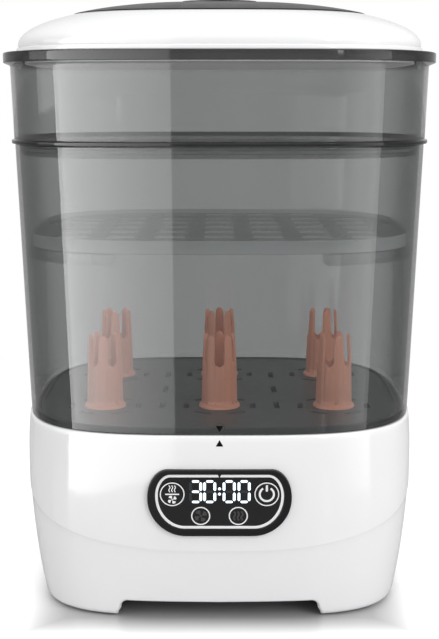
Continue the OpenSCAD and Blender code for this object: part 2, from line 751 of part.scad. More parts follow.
module lid_cap() color(BLACK) difference() {
    edge = cap_share - 0.003;
    swept_solid(concat(
        [dome_level(edge - 0.037, cap_t - 0.05), dome_level(edge, cap_t - 0.05), dome_level(edge, -0.2),
            dome_level(edge - 0.008, -cap_proud)],
        [for (s = [0.6, 0.48, 0.35, 0.22, 0.08]) dome_level(s, -cap_proud)]));
    swept_solid([for (s = [edge - 0.06, 0.55, 0.4, 0.25, 0.1]) [dome_level(s)[0],
        dome_level(s)[1] - (s > 0.6 ? 8 : cap_t), dome_level(s)[2]]]);
    translate([0, 0, dome_z]) linear_extrude(60) vent_outline(2);
}

module vent_outline(inset)
    scale([1, vent_half[1] / vent_half[0]]) circle(vent_half[0] - inset, $fn = FN);

// Slotted grille over the steam outlet, with a plug that sits in the cap
module lid_vent() color(BLACK) difference() {
    plug_t = 2;
    union() {
        translate([0, 0, vent_top - 0.8 + EPS]) linear_extrude(0.8 - EPS) vent_outline(0);
        translate([0, 0, vent_top - 0.8 - plug_t]) linear_extrude(plug_t + 2 * EPS) vent_outline(2.1);
    }
    translate([0, 0, vent_top - 6]) linear_extrude(10) for (i = [-2 : 2]) translate([i * 8, 0])
        rotate(90) slot(i == 0 ? 22 : abs(i) == 1 ? 19 : 14, 3);
}

module lid_liner() color(WHITE) difference() {
    union() {
        band(liner_half, 2, liner_foot, liner_plate_z - liner_foot + EPS);
        slab(liner_half, liner_plate_z, liner_plate_t);
    }
    translate([0, 0, liner_plate_z - 1]) linear_extrude(5) {
        for (i = [-3 : 3]) translate([i * 11, 0]) rotate(90) slot(44, 5);
        at_corners(lid_screw_xy) circle(1.5, $fn = 24);
    }
}

module lid_seal() color(SILICONE) band(liner_half + 1, 0.98, rim_top - 4.5, 2.5);

module lid_screws() color(STEEL)
    at_corners(lid_screw_xy) translate([0, 0, liner_plate_z - 1.8]) pan_screw(2.8, 1.8, 1.45, 8);

base_shell();
bottom_cover();
foot_front_left();
foot_front_right();
foot_rear_left();
foot_rear_right();
base_screws();
heating_deck();
plate_seal();
heating_plate();
heater_element();
heater_bracket();
bracket_screws();
thermostat();
thermal_fuse();
fan_housing();
fan_cover();
fan_motor();
impeller();
air_outlet_cap();
filter_frame();
filter_media();
filter_cover();
cord_gland();
terminal_block();
power_board();
power_relay();
power_capacitor();
control_bezel();
panel_ring();
panel_lens();
mode_button();
power_button();
mode_switch();
power_switch();
display_module();
drying_light();
steam_light();
control_board();
panel_screws();
bottle_rack();
peg_front_left();
peg_front_middle();
peg_front_right();
peg_rear_left();
peg_rear_middle();
peg_rear_right();
housing();
mid_rack();
upper_tray();
lid_shell();
lid_cap();
lid_vent();
lid_liner();
lid_seal();
lid_screws();
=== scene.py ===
"""Looks of a bottle steriliser and dryer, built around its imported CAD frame.

Shapes are worked out in millimetres and turned into metres where a mesh is made. The front is -Y.
"""

import json
import math

import bmesh
import bpy
import numpy as np
from mathutils import Matrix, Vector

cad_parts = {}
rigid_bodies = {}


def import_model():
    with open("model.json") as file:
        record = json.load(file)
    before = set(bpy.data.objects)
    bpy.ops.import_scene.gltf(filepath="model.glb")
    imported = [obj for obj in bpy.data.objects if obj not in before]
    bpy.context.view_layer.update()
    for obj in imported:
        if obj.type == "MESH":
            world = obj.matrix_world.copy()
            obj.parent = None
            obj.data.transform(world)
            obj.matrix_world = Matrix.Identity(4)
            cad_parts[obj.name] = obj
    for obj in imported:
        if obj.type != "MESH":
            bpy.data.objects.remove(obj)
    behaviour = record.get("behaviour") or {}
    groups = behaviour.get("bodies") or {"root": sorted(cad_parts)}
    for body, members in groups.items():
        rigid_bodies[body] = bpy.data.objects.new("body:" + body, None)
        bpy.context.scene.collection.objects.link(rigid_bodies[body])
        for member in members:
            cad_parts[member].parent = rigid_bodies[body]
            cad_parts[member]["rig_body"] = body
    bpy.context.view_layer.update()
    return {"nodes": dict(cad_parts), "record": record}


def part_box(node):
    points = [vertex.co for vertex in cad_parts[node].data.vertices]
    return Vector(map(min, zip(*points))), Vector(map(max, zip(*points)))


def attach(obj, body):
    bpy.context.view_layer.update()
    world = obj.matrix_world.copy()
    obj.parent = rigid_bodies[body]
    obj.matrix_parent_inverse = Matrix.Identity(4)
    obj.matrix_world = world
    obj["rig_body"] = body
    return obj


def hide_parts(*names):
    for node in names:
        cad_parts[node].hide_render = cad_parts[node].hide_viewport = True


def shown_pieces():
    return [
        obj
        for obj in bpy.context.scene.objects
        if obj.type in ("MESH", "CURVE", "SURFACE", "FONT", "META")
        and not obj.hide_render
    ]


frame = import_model()

MM = 0.001


def low(node):
    """Lowest corner of a CAD node in millimetres."""
    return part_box(node)[0] / MM


def high(node):
    """Highest corner of a CAD node in millimetres."""
    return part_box(node)[1] / MM


def middle(node):
    return (low(node) + high(node)) / 2


def extent(node):
    return high(node) - low(node)


# ---- Driving dimensions, in millimetres ----

DEPTH_CUT = high("upper_tray").x - high("upper_tray").y
PLAN_POWER = 3.4
WALL = 2.6
BASE_HALF = high("base_shell").x
BASE_TOP = high("base_shell").z
BASE_FOOT = low("base_shell").z
BASE_WIDEST_Z = 100
LOWER_SWEEP, UPPER_SWEEP = 0.00104, 0.0021
FOOT_POWER = 4.1
FOOT_EDGE_R, ARCH_EDGE_R = 4, 1.4
ARCH_HALF, ARCH_HEIGHT, ARCH_BOW, ARCH_R = 67.5, 11.8, 0.8, 6
DECK_LEDGE_Z = 117.4
CREASE_STEP, CREASE_HOLLOW, CREASE_DROP = 0.35, 0.6, 1.0
GLAND_HOLE_R = 6.55
PANEL_Z = middle("control_bezel").z
PEG_BASE_R, PEG_TIP_R, PEG_SLOTS, PEG_SLOT_W, PEG_SLOT_DEPTH = 13.2, 10.2, 5, 6.9, 22
DOME_HALF, DOME_POWER, DOME_MIDDLE_POWER, CAP_HALF = 135.4, 2.04, 2.8, 101
CAP_SHARE = CAP_HALF / DOME_HALF
RIM_TOP = high("upper_tray").z
DOME_Z = RIM_TOP + 4.7
DOME_RISE = 31.2

# The camera stands in metres, with its pitch in degrees and its lens in millimetres.
CAMERA_PLACE = (0, -0.92213, 0.33904)
CAMERA_PITCH = 9.68
CAMERA_LENS = 72.58


def make_camera():
    data = bpy.data.cameras.new("camera")
    data.sensor_width = 36
    data.lens = CAMERA_LENS
    camera = bpy.data.objects.new("camera", data)
    bpy.context.scene.collection.objects.link(camera)
    camera.location = CAMERA_PLACE
    camera.rotation_euler = (math.radians(90 - CAMERA_PITCH), 0, 0)
    bpy.context.scene.camera = camera


# ---- Plan outline, sections and meshes ----


def signed_power(v, e):
    return np.sign(v) * np.abs(v) ** e


def plan(half, angles, power=PLAN_POWER):
    """Points of the rounded-rectangle plan outline of a given half width."""
    x = half * signed_power(np.cos(angles), 2 / power)
    y = (half - DEPTH_CUT) * signed_power(np.sin(angles), 2 / power)
    return np.column_stack([x, y])


def even_angles(count):
    """Angles that space an outline's points evenly along its edge."""
    fine = np.linspace(0, 2 * np.pi, 14401)
    steps = np.diff(plan(BASE_HALF, fine), axis=0)
    length = np.concatenate([[0], np.cumsum(np.hypot(steps[:, 0], steps[:, 1]))])
    return np.interp(np.linspace(0, length[-1], count, endpoint=False), length, fine)


ROUND = even_angles(360)


def rounded_section(corners, steps=5):
    """Closed (half, z) section whose (half, z, radius) corners are rounded by arcs."""
    points = []
    for i, (half, z, radius) in enumerate(corners):
        here = Vector((half, z))
        before = Vector(corners[i - 1][:2]) - here
        after = Vector(corners[(i + 1) % len(corners)][:2]) - here
        if radius == 0:
            points.append(here)
            continue
        half_angle = before.angle(after) / 2
        reach = min(radius / math.tan(half_angle), 0.45 * before.length, 0.45 * after.length)
        radius = reach * math.tan(half_angle)
        a, b = before.normalized(), after.normalized()
        centre = here + (a + b).normalized() * radius / math.sin(half_angle)
        for k in range(steps + 1):
            ray = (a * reach + here - centre).lerp(b * reach + here - centre, k / steps)
            points.append(centre + ray.normalized() * radius)
    return points


def finish_mesh(mesh, sharp=35):
    mesh.shade_smooth()
    mesh.set_sharp_from_angle(angle=math.radians(sharp))
    return mesh


def new_object(name, mesh):
    piece = bpy.data.objects.new(name, mesh)
    bpy.context.scene.collection.objects.link(piece)
    return piece


def grid_piece(name, rings, closed=False, caps=False):
    """Piece through rings of points in millimetres; closed joins the last ring to the first."""
    rings = np.asarray(rings, float)
    levels, count = rings.shape[:2]
    faces = []
    for k in range(levels if closed else levels - 1):
        a, b = k * count, (k + 1) % levels * count
        for i in range(count):
            j = (i + 1) % count
            faces.append((a + i, a + j, b + j, b + i))
    if caps:
        faces.append(tuple(range(count - 1, -1, -1)))
        faces.append(tuple((levels - 1) * count + i for i in range(count)))
    mesh = bpy.data.meshes.new(name)
    mesh.from_pydata((rings.reshape(-1, 3) * MM).tolist(), [], faces)
    mesh.validate()
    return new_object(name, finish_mesh(mesh))


def level_ring(half, z, power=PLAN_POWER):
    outline = plan(half, ROUND, power)
    return np.column_stack([outline, np.full(len(outline), z)])


def swept_piece(name, corners):
    """Wall whose rounded section goes round the plan outline."""
    return grid_piece(name, [level_ring(p[0], p[1]) for p in rounded_section(corners)], closed=True)


def weighted(piece):
    """Normals that follow the large faces, so that rounded edges don't shade flat walls."""
    modifier = piece.modifiers.new("weighted", "WEIGHTED_NORMAL")
    modifier.keep_sharp = True
    modifier.weight = 100
    return piece


def evaluated_mesh(piece):
    """The piece's mesh with its modifiers or bevel worked out."""
    graph = bpy.context.evaluated_depsgraph_get()
    return bpy.data.meshes.new_from_object(piece.evaluated_get(graph))


def plate(name, loops, bottom, top, rounding=0.0, place=Matrix.Identity(4)):
    """Flat piece with rounded edges from closed loops; a loop inside another is a hole."""
    curve = bpy.data.curves.new(name, "CURVE")
    curve.dimensions = "2D"
    curve.fill_mode = "BOTH"
    for loop in loops:
        spline = curve.splines.new("POLY")
        spline.points.add(len(loop) - 1)
        spline.use_cyclic_u = True
        flat = [value for x, y in loop for value in (x * MM, y * MM, 0, 1)]
        spline.points.foreach_set("co", flat)
    curve.bevel_depth = rounding * MM
    curve.bevel_resolution = 2
    curve.offset = -rounding * MM
    curve.extrude = ((top - bottom) / 2 - rounding) * MM
    scratch = new_object(name + "_curve", curve)
    bpy.context.view_layer.update()
    mesh = evaluated_mesh(scratch)
    bpy.data.objects.remove(scratch)
    mesh.transform(place @ Matrix.Translation((0, 0, (top + bottom) / 2 * MM)))
    mesh.name = name
    merged = bmesh.new()
    merged.from_mesh(mesh)
    bmesh.ops.remove_doubles(merged, verts=merged.verts, dist=1e-6)
    bmesh.ops.recalc_face_normals(merged, faces=merged.faces)
    merged.to_mesh(mesh)
    merged.free()
    return weighted(new_object(name, finish_mesh(mesh)))


def place_piece(piece, body, slot_name, *nodes):
    """Gives a piece its body and finish, and hides the CAD nodes that it stands for."""
    piece.data.materials.clear()
    piece.data.materials.append(MATERIALS[slot_name])
    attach(piece, body)
    if nodes:
        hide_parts(*nodes)
    return piece


def apply_modifiers(piece):
    mesh = evaluated_mesh(piece)
    piece.modifiers.clear()
    piece.data = mesh
    return piece


def cut_away(piece, cutters):
    """Takes the cutters' shapes out of a piece."""
    for cutter in cutters:
        modifier = piece.modifiers.new("cut", "BOOLEAN")
        modifier.operation = "DIFFERENCE"
        modifier.solver = "MANIFOLD"
        modifier.object = cutter
    bpy.context.view_layer.update()
    apply_modifiers(piece)
    for cutter in cutters:
        bpy.data.objects.remove(cutter)
    finish_mesh(piece.data)
    return piece


def round_edges(piece, width, segments, angle):
    """Rounds the edges that are sharper than an angle in degrees."""
    bevel = piece.modifiers.new("edges", "BEVEL")
    bevel.width = width * MM
    bevel.segments = segments
    bevel.limit_method = "ANGLE"
    bevel.angle_limit = math.radians(angle)
    return piece


def rounded_copy(node, width):
    """Copy of a CAD piece whose flat faces are merged and whose edges are rounded."""
    shape = bmesh.new()
    shape.from_mesh(frame["nodes"][node].data)
    bmesh.ops.remove_doubles(shape, verts=shape.verts, dist=3e-6)
    bmesh.ops.dissolve_limit(shape, angle_limit=math.radians(0.5), verts=shape.verts, edges=shape.edges)
    mesh = bpy.data.meshes.new(node + "_moulding")
    shape.to_mesh(mesh)
    shape.free()
    piece = new_object(node + "_moulding", finish_mesh(mesh))
    return weighted(round_edges(piece, width, 2, 40))


# ---- Loops for flat pieces ----


def ellipse_arc(centre, radii, start, sweep=90, steps=24):
    angles = np.radians(start + sweep * np.arange(steps + 1) / steps)
    return [(centre[0] + radii[0] * math.cos(a), centre[1] + radii[1] * math.sin(a)) for a in angles]


def circle_loop(x, y, radius, steps=64):
    return ellipse_arc((x, y), (radius, radius), 0, 360 * (steps - 1) / steps, steps - 1)


def slot_loop(x, y, length, width, steps=10):
    """Stadium of a given whole length along X."""
    reach, radius = (length - width) / 2, width / 2
    right = ellipse_arc((x + reach, y), (radius, radius), -90, 180, steps)
    return right + ellipse_arc((x - reach, y), (radius, radius), 90, 180, steps)


def rectangle_loop(x, y, w, h, r):
    loop = []
    for i, (sx, sy) in enumerate([(1, 1), (-1, 1), (-1, -1), (1, -1)]):
        loop += ellipse_arc((x + sx * (w / 2 - r), y + sy * (h / 2 - r)), (r, r), 90 * i, 90, 6)
    return loop


def turned(loop, degrees, x=0, y=0):
    c, s = math.cos(math.radians(degrees)), math.sin(math.radians(degrees))
    return [(x + c * u - s * v, y + s * u + c * v) for u, v in loop]


def stroke(points, width):
    """Outline of a line of a given width with square ends."""
    line = np.array(points, float)
    along = np.gradient(line, axis=0)
    along /= np.linalg.norm(along, axis=1)[:, None]
    side = np.column_stack([-along[:, 1], along[:, 0]]) * width / 2
    return [tuple(p) for p in np.concatenate([line + side, (line - side)[::-1]])]


def panel_loop(w, h, top, bottom_w, inset=0, rise=0):
    """Panel outline of quarter-ellipse corners, larger below than above."""
    middle = h / 2 - top[1]
    x = w / 2 - inset
    upper = (top[0] - inset, top[1] - inset)
    lower = (bottom_w - inset, h - top[1] - inset)
    loop = ellipse_arc((x - upper[0], middle), upper, 0) + ellipse_arc((upper[0] - x, middle), upper, 90)
    loop += ellipse_arc((lower[0] - x, middle), lower, 180) + ellipse_arc((x - lower[0], middle), lower, 270)
    return [(u, v + rise) for u, v in loop]


# ---- Material nodes ----


def add(tree, kind, inputs=None, **settings):
    made = tree.nodes.new("ShaderNode" + kind)
    for key, value in settings.items():
        setattr(made, key, value)
    for key, value in (inputs or {}).items():
        if isinstance(value, bpy.types.NodeSocket):
            tree.links.new(value, made.inputs[key])
        else:
            made.inputs[key].default_value = value
    return made


def blank_material(name):
    material = bpy.data.materials.new(name)
    material.use_nodes = True
    tree = material.node_tree
    tree.nodes.clear()
    return material, tree


def noise(tree, scale, detail=2.0, stretch=(1, 1, 1), distortion=0.0):
    """Noise over the object's own coordinates, in cells per metre."""
    place = add(tree, "TexCoord").outputs["Object"]
    spread = add(tree, "Mapping", {"Vector": place, "Scale": stretch}).outputs["Vector"]
    settings = {"Vector": spread, "Scale": scale, "Detail": detail, "Distortion": distortion}
    return add(tree, "TexNoise", settings).outputs["Fac"]


def remap(tree, value, low_value, high_value):
    """A 0 to 1 value spread between two others."""
    inputs = {"Value": value, "To Min": low_value, "To Max": high_value}
    return add(tree, "MapRange", inputs).outputs["Result"]


def maths(tree, operation, first, second, clamp=False):
    made = add(tree, "Math", {0: first, 1: second}, operation=operation, use_clamp=clamp)
    return made.outputs["Value"]


def tint(tree, factor, first, second):
    mixed = add(tree, "Mix", data_type="RGBA", blend_type="MIX")
    tree.links.new(factor, mixed.inputs["Factor"])
    mixed.inputs["A"].default_value = (*first, 1)
    mixed.inputs["B"].default_value = (*second, 1)
    return mixed.outputs["Result"]


def bump(tree, height, depth, strength=1.0):
    """Normals of a relief whose depth is in millimetres."""
    inputs = {"Height": height, "Strength": strength, "Distance": depth * MM}
    return add(tree, "Bump", inputs).outputs["Normal"]


def shaded(colour, share):
    return tuple(c * share for c in colour)


def surface(name, colour, roughness, grain=2500, depth=0.02, mottle=0.04, cloud=25, **sockets):
    """Moulded or plain surface: mottled colour, uneven gloss and a fine grain in the relief."""
    material, tree = blank_material(name)
    patches = noise(tree, cloud, 4)
    fine = noise(tree, grain, 3)
    base = tint(tree, patches, shaded(colour, 1 - mottle), shaded(colour, 1 + mottle * 0.6))
    gloss = remap(tree, noise(tree, cloud * 6, 5), roughness * 0.8, roughness * 1.25)
    inputs = {"Base Color": base, "Roughness": gloss, "Normal": bump(tree, fine, depth)}
    shader = add(tree, "BsdfPrincipled", inputs)
    for key, value in sockets.items():
        shader.inputs[key.replace("_", " ")].default_value = value
    add(tree, "OutputMaterial", {"Surface": shader.outputs["BSDF"]})
    return material


def smoke(name, facing, grazing, haze=0.006, streak=0.06):
    """Clear grey plastic: at a slant each surface lets less of its tint through and mirrors more."""
    material, tree = blank_material(name)
    slant = add(tree, "LayerWeight", {"Blend": 0.5}).outputs["Facing"]
    steep = maths(tree, "POWER", slant, 2.2)
    streaks = noise(tree, 9, 3, (1, 1, 0.12), 0.6)
    even = tint(tree, steep, facing, grazing)
    uneven = add(tree, "Mix", {"Factor": 1.0, "A": even}, data_type="RGBA", blend_type="MULTIPLY")
    tree.links.new(tint(tree, streaks, (1 - streak,) * 3, (1, 1, 1)), uneven.inputs["B"])
    see = add(tree, "BsdfTransparent", {"Color": uneven.outputs["Result"]}).outputs["BSDF"]
    milk = add(tree, "BsdfDiffuse", {"Color": (0.5, 0.52, 0.52, 1)}).outputs["BSDF"]
    body = add(tree, "MixShader", {0: haze, 1: see, 2: milk}).outputs["Shader"]
    ripple = noise(tree, 60, 2, (1, 1, 0.3))
    relief = bump(tree, ripple, 0.01, 0.05)
    gloss = remap(tree, noise(tree, 300, 4), 0.02, 0.06)
    glance = maths(tree, "POWER", slant, 5.0)
    share = remap(tree, glance, 0.12, 1.0)
    shine = tint(tree, glance, (0.34, 0.34, 0.34), (1, 1, 1))
    mirror = add(tree, "BsdfGlossy", {"Color": shine, "Roughness": gloss, "Normal": relief}).outputs["BSDF"]
    whole = add(tree, "MixShader", {0: share, 1: body, 2: mirror}).outputs["Shader"]
    add(tree, "OutputMaterial", {"Surface": whole})
    return material


def brushed(name, colour, roughness, stretch, scale=900, depth=0.004):
    """Metal with fine lines along the stretched direction."""
    material, tree = blank_material(name)
    lines = noise(tree, scale, 6, stretch)
    base = tint(tree, lines, shaded(colour, 0.86), shaded(colour, 1.06))
    gloss = remap(tree, lines, roughness * 0.7, roughness * 1.4)
    inputs = {"Base Color": base, "Roughness": gloss, "Normal": bump(tree, lines, depth), "Metallic": 1.0}
    shader = add(tree, "BsdfPrincipled", inputs)
    add(tree, "OutputMaterial", {"Surface": shader.outputs["BSDF"]})
    return material


def spun(name, colour, roughness):
    """Steel turned on a lathe: rings round the middle, with a few limescale clouds."""
    material, tree = blank_material(name)
    place = add(tree, "TexCoord").outputs["Object"]
    flat = add(tree, "VectorMath", {0: place, 1: (1, 1, 0)}, operation="MULTIPLY").outputs["Vector"]
    radius = add(tree, "VectorMath", {0: flat}, operation="LENGTH").outputs["Value"]
    rings = add(tree, "TexNoise", {"W": radius, "Scale": 2600.0, "Detail": 4.0}, noise_dimensions="1D")
    lines = rings.outputs["Fac"]
    clouds = remap(tree, noise(tree, 40, 5), -1.2, 1.6)
    scale_spots = maths(tree, "MAXIMUM", clouds, 0.0, clamp=True)
    mixed = add(tree, "Mix", {"Factor": scale_spots}, data_type="RGBA")
    tree.links.new(tint(tree, lines, shaded(colour, 0.9), shaded(colour, 1.05)), mixed.inputs["A"])
    mixed.inputs["B"].default_value = (*shaded(colour, 0.9), 1)
    gloss = remap(tree, lines, roughness * 0.8, roughness * 1.3)
    relief = bump(tree, lines, 0.004, 0.6)
    inputs = {"Base Color": mixed.outputs["Result"], "Roughness": gloss, "Normal": relief, "Metallic": 1.0}
    shader = add(tree, "BsdfPrincipled", inputs)
    add(tree, "OutputMaterial", {"Surface": shader.outputs["BSDF"]})
    return material


def circuit(name):
    """Green solder mask over straight copper tracks, with a few plated pads."""
    material, tree = blank_material(name)
    place = add(tree, "TexCoord").outputs["Object"]
    tracks = add(tree, "TexVoronoi", {"Vector": place, "Scale": 260.0}, distance="MANHATTAN", feature="F1")
    ridge = maths(tree, "GREATER_THAN", tracks.outputs["Distance"], 0.55)
    pads = add(tree, "TexVoronoi", {"Vector": place, "Scale": 180.0, "Randomness": 0.25})
    dots = maths(tree, "LESS_THAN", pads.outputs["Distance"], 0.13)
    mask = tint(tree, ridge, (0.012, 0.085, 0.03), (0.03, 0.16, 0.055))
    mixed = add(tree, "Mix", {"Factor": dots, "A": mask, "B": (0.6, 0.56, 0.45, 1)}, data_type="RGBA")
    relief = bump(tree, ridge, 0.03, 0.5)
    inputs = {"Base Color": mixed.outputs["Result"], "Roughness": 0.32, "Normal": relief}
    shader = add(tree, "BsdfPrincipled", inputs)
    tree.links.new(dots, shader.inputs["Metallic"])
    add(tree, "OutputMaterial", {"Surface": shader.outputs["BSDF"]})
    return material


def lit(name, colour, strength):
    """Segment or lamp that glows a little unevenly."""
    material, tree = blank_material(name)
    glow = tint(tree, noise(tree, 700, 2), shaded(colour, 0.88), colour)
    inputs = {"Base Color": (*colour, 1), "Roughness": 0.4, "Emission Color": glow}
    shader = add(tree, "BsdfPrincipled", inputs)
    shader.inputs["Emission Strength"].default_value = strength
    add(tree, "OutputMaterial", {"Surface": shader.outputs["BSDF"]})
    return material


WHITE = (0.86, 0.86, 0.87)
SALMON = (0.64, 0.265, 0.165)
MATERIALS = {}


def finish(kind, name, *values, **sockets):
    """Makes the material of a named finish."""
    MATERIALS[name] = kind(name, *values, **sockets)


finish(surface, "white_shell", WHITE, 0.13, 1400, 0.004, 0.012, 14, Coat_Weight=0.35, Coat_Roughness=0.05)
finish(surface, "white_inner", (0.8, 0.8, 0.81), 0.42, 2600, 0.02, 0.03)
finish(smoke, "smoke_clear", (0.75, 0.755, 0.755), (0.74, 0.745, 0.745))
finish(smoke, "smoke_thin", (0.99, 0.99, 0.99), (0.88, 0.885, 0.885), 0.02)
finish(smoke, "smoke_rack", (0.94, 0.945, 0.945), (0.72, 0.725, 0.725), 0.1)
finish(smoke, "smoke_edge", (0.9, 0.905, 0.905), (0.72, 0.725, 0.725), 0.45)
finish(smoke, "smoke_rim", (0.25, 0.253, 0.253), (0.12, 0.122, 0.122), 0.01)
finish(surface, "charcoal_plastic", (0.06, 0.064, 0.066), 0.4, 3200, 0.03, 0.12, 30)
finish(surface, "black_gloss", (0.007, 0.007, 0.008), 0.08, 1800, 0.003, 0.1, 20, Specular_IOR_Level=0.35)
finish(surface, "bezel_black", (0.011, 0.011, 0.012), 0.3, 3600, 0.02, 0.1, 30, Specular_IOR_Level=0.15)
finish(surface, "cap_black", (0.009, 0.009, 0.010), 0.3, 1800, 0.003, 0.1, 20, Specular_IOR_Level=0.1)
finish(surface, "peg_salmon", SALMON, 0.46, 1900, 0.03, 0.08, 60, Subsurface_Weight=0.12,
       Subsurface_Radius=(0.004, 0.002, 0.0012), Sheen_Weight=0.25, Sheen_Roughness=0.4)
finish(spun, "stainless", (0.62, 0.63, 0.65), 0.26)
finish(brushed, "zinc_steel", (0.55, 0.56, 0.58), 0.33, (1, 1, 6))
finish(surface, "cast_alloy", (0.5, 0.51, 0.53), 0.45, 1500, 0.06, 0.1, 80, Metallic=1.0)
finish(surface, "silicone", (0.7, 0.71, 0.72), 0.5, 1500, 0.02, 0.05, 40, Subsurface_Weight=0.2,
       Subsurface_Radius=(0.003, 0.003, 0.003))
finish(surface, "rubber_black", (0.035, 0.035, 0.035), 0.7, 2200, 0.05, 0.15, 70, Sheen_Weight=0.2)
finish(circuit, "board_green")
finish(surface, "component_blue", (0.03, 0.09, 0.25), 0.38, 2500, 0.02, 0.08)
finish(surface, "component_black", (0.02, 0.02, 0.02), 0.3, 1500, 0.01, 0.1)
finish(surface, "rotor_grey", (0.28, 0.29, 0.3), 0.5, 2600, 0.03, 0.06)
finish(surface, "filter_paper", (0.8, 0.78, 0.72), 0.85, 1100, 0.12, 0.1, 120, Sheen_Weight=0.3)
finish(surface, "phenolic", (0.03, 0.02, 0.018), 0.35, 1600, 0.02, 0.15)
finish(surface, "light_pipe", (0.72, 0.75, 0.78), 0.45, 1800, 0.03, 0.04, Transmission_Weight=0.4)
finish(surface, "mark_white", (0.86, 0.87, 0.88), 0.4, 3000, 0.004, 0.04, 60)
finish(surface, "mark_black", (0.003, 0.003, 0.003), 0.5, 3000, 0.004, 0.1, 60, Specular_IOR_Level=0.05)
finish(surface, "mark_dim", (0.042, 0.038, 0.038), 0.3, 3000, 0.004, 0.1, 60)
finish(lit, "segment_lit", (0.78, 0.9, 1.0), 1.05)
finish(surface, "segment_off", (0.018, 0.024, 0.030), 0.2, 3000, 0.004, 0.1, 60)


def mark(piece, material, body, slot_name, *nodes):
    """Piece whose look is a variant of its slot's finish, such as a printed or lit mark."""
    place_piece(piece, body, slot_name, *nodes)
    piece.data.materials[0] = MATERIALS[material]
    return piece


# ---- Base ----


def base_half_at(z):
    sweep = np.where(z < BASE_WIDEST_Z, LOWER_SWEEP, UPPER_SWEEP)
    return BASE_HALF - sweep * (z - BASE_WIDEST_Z) ** 2


def base_power_at(z):
    return FOOT_POWER + (PLAN_POWER - FOOT_POWER) * np.minimum(1, z / BASE_WIDEST_Z)


def arch_at(x):
    """Height of the lower edge of the base at a distance x from the middle."""
    end = ARCH_HEIGHT + ARCH_BOW
    x = np.abs(x)
    roof = ARCH_HEIGHT + ARCH_BOW * x / ARCH_HALF
    past = np.maximum(0, x - ARCH_HALF + ARCH_R)
    shoulder = end - ARCH_R + np.sqrt(np.maximum(0, ARCH_R**2 - past**2))
    flank = (end - ARCH_R) * (1 - (x - ARCH_HALF) / 4)
    foot = 2.5 * (1 - np.clip((x - ARCH_HALF - 1.5) / 5, 0, 1)) ** 2
    outside = np.where(x < ARCH_HALF, shoulder, np.maximum(flank, foot))
    height = np.where(x < ARCH_HALF - ARCH_R, roof, outside)
    return np.maximum(height, BASE_FOOT)


def crease_at(x, y):
    """Height of the styling line that sweeps round the base, lowest in front."""
    side = np.abs(x) / np.hypot(x, y)
    return 49.5 + 41 * side**3.5


def base_columns():
    """Plan angles, closer together at the ends of the arch."""
    arch_x = np.arange(ARCH_HALF - 9, ARCH_HALF + 9, 0.6)
    angle = np.arccos((arch_x / base_half_at(BASE_FOOT + FOOT_EDGE_R)) ** (FOOT_POWER / 2))
    extra = np.concatenate([angle, np.pi - angle, np.pi + angle, 2 * np.pi - angle])
    return np.unique(np.round(np.concatenate([even_angles(420), extra]), 5))


def base_rings(angles):
    """Rings of the base up its outside, over its top edge and down its inside."""
    guide = plan(float(base_half_at(BASE_FOOT + FOOT_EDGE_R)), angles, FOOT_POWER)
    foot = arch_at(guide[:, 0])
    crease = crease_at(guide[:, 0], guide[:, 1])
    in_arch = np.clip((foot - BASE_FOOT) / 3, 0, 1)
    edge = FOOT_EDGE_R + (ARCH_EDGE_R - FOOT_EDGE_R) * in_arch

    def ring(z, inset):
        return np.column_stack([plan(base_half_at(z) - inset, angles, base_power_at(z)), z])

    def styled(z):
        """Inset of the skin under the styling line."""
        below = np.maximum(0, crease - z)
        return CREASE_STEP * (1 - np.exp(-below / 1.4)) + CREASE_HOLLOW * (1 - np.exp(-below / 14))

    rings = []
    for k in range(7):
        turn = math.radians(90 * k / 6)
        z = foot + edge * (1 - math.cos(turn))
        rings.append(ring(z, styled(z) + edge * (1 - math.sin(turn))))
    start = foot + edge
    for share in (0.06, 0.15, 0.27, 0.4, 0.52, 0.64, 0.75, 0.84, 0.9):
        z = start + (crease - start) * share
        rings.append(ring(z, styled(z)))
    for rise in (-1.6, -0.7, -0.2, 0.1, 0.6):
        rings.append(ring(crease + rise, styled(crease + rise)))
    brow = BASE_TOP - 1.2
    for share in (0.04, 0.1, 0.2, 0.32, 0.45, 0.58, 0.7, 0.8, 0.89, 0.96, 1):
        z = crease + (brow - crease) * share
        rings.append(ring(z, 0))
    level = np.ones_like(foot)
    rings.append(ring(level * (BASE_TOP - 0.35), 0.3))
    rings.append(ring(level * BASE_TOP, 1.1))
    lip = high("heating_deck").x
    ledge = ((lip + 0.5, BASE_TOP), (lip + 0.5, DECK_LEDGE_Z), (lip - 4, DECK_LEDGE_Z),
             (lip - 4, DECK_LEDGE_Z - 2), (lip + 1, DECK_LEDGE_Z - 6))
    for half, z in ledge:
        rings.append(ring(level * z, base_half_at(z) - half))
    for share in (0.15, 0.4, 0.65, 0.85, 1):
        z = BASE_WIDEST_Z + (start + 1.5 - BASE_WIDEST_Z) * share
        rings.append(ring(z, WALL + styled(z)))
    sole = np.maximum(WALL, edge + 0.4)
    for z in (foot + WALL, foot):
        rings.append(ring(z, sole + styled(z)))
    return rings


def upright_on(half, z, lean):
    """Frame on the front wall at a height: X right, Y up the wall, Z outwards."""
    place = Matrix.Translation(Vector((0, DEPTH_CUT - half, z)) * MM)
    return place @ Matrix.Rotation(math.radians(90) + lean, 4, "X")


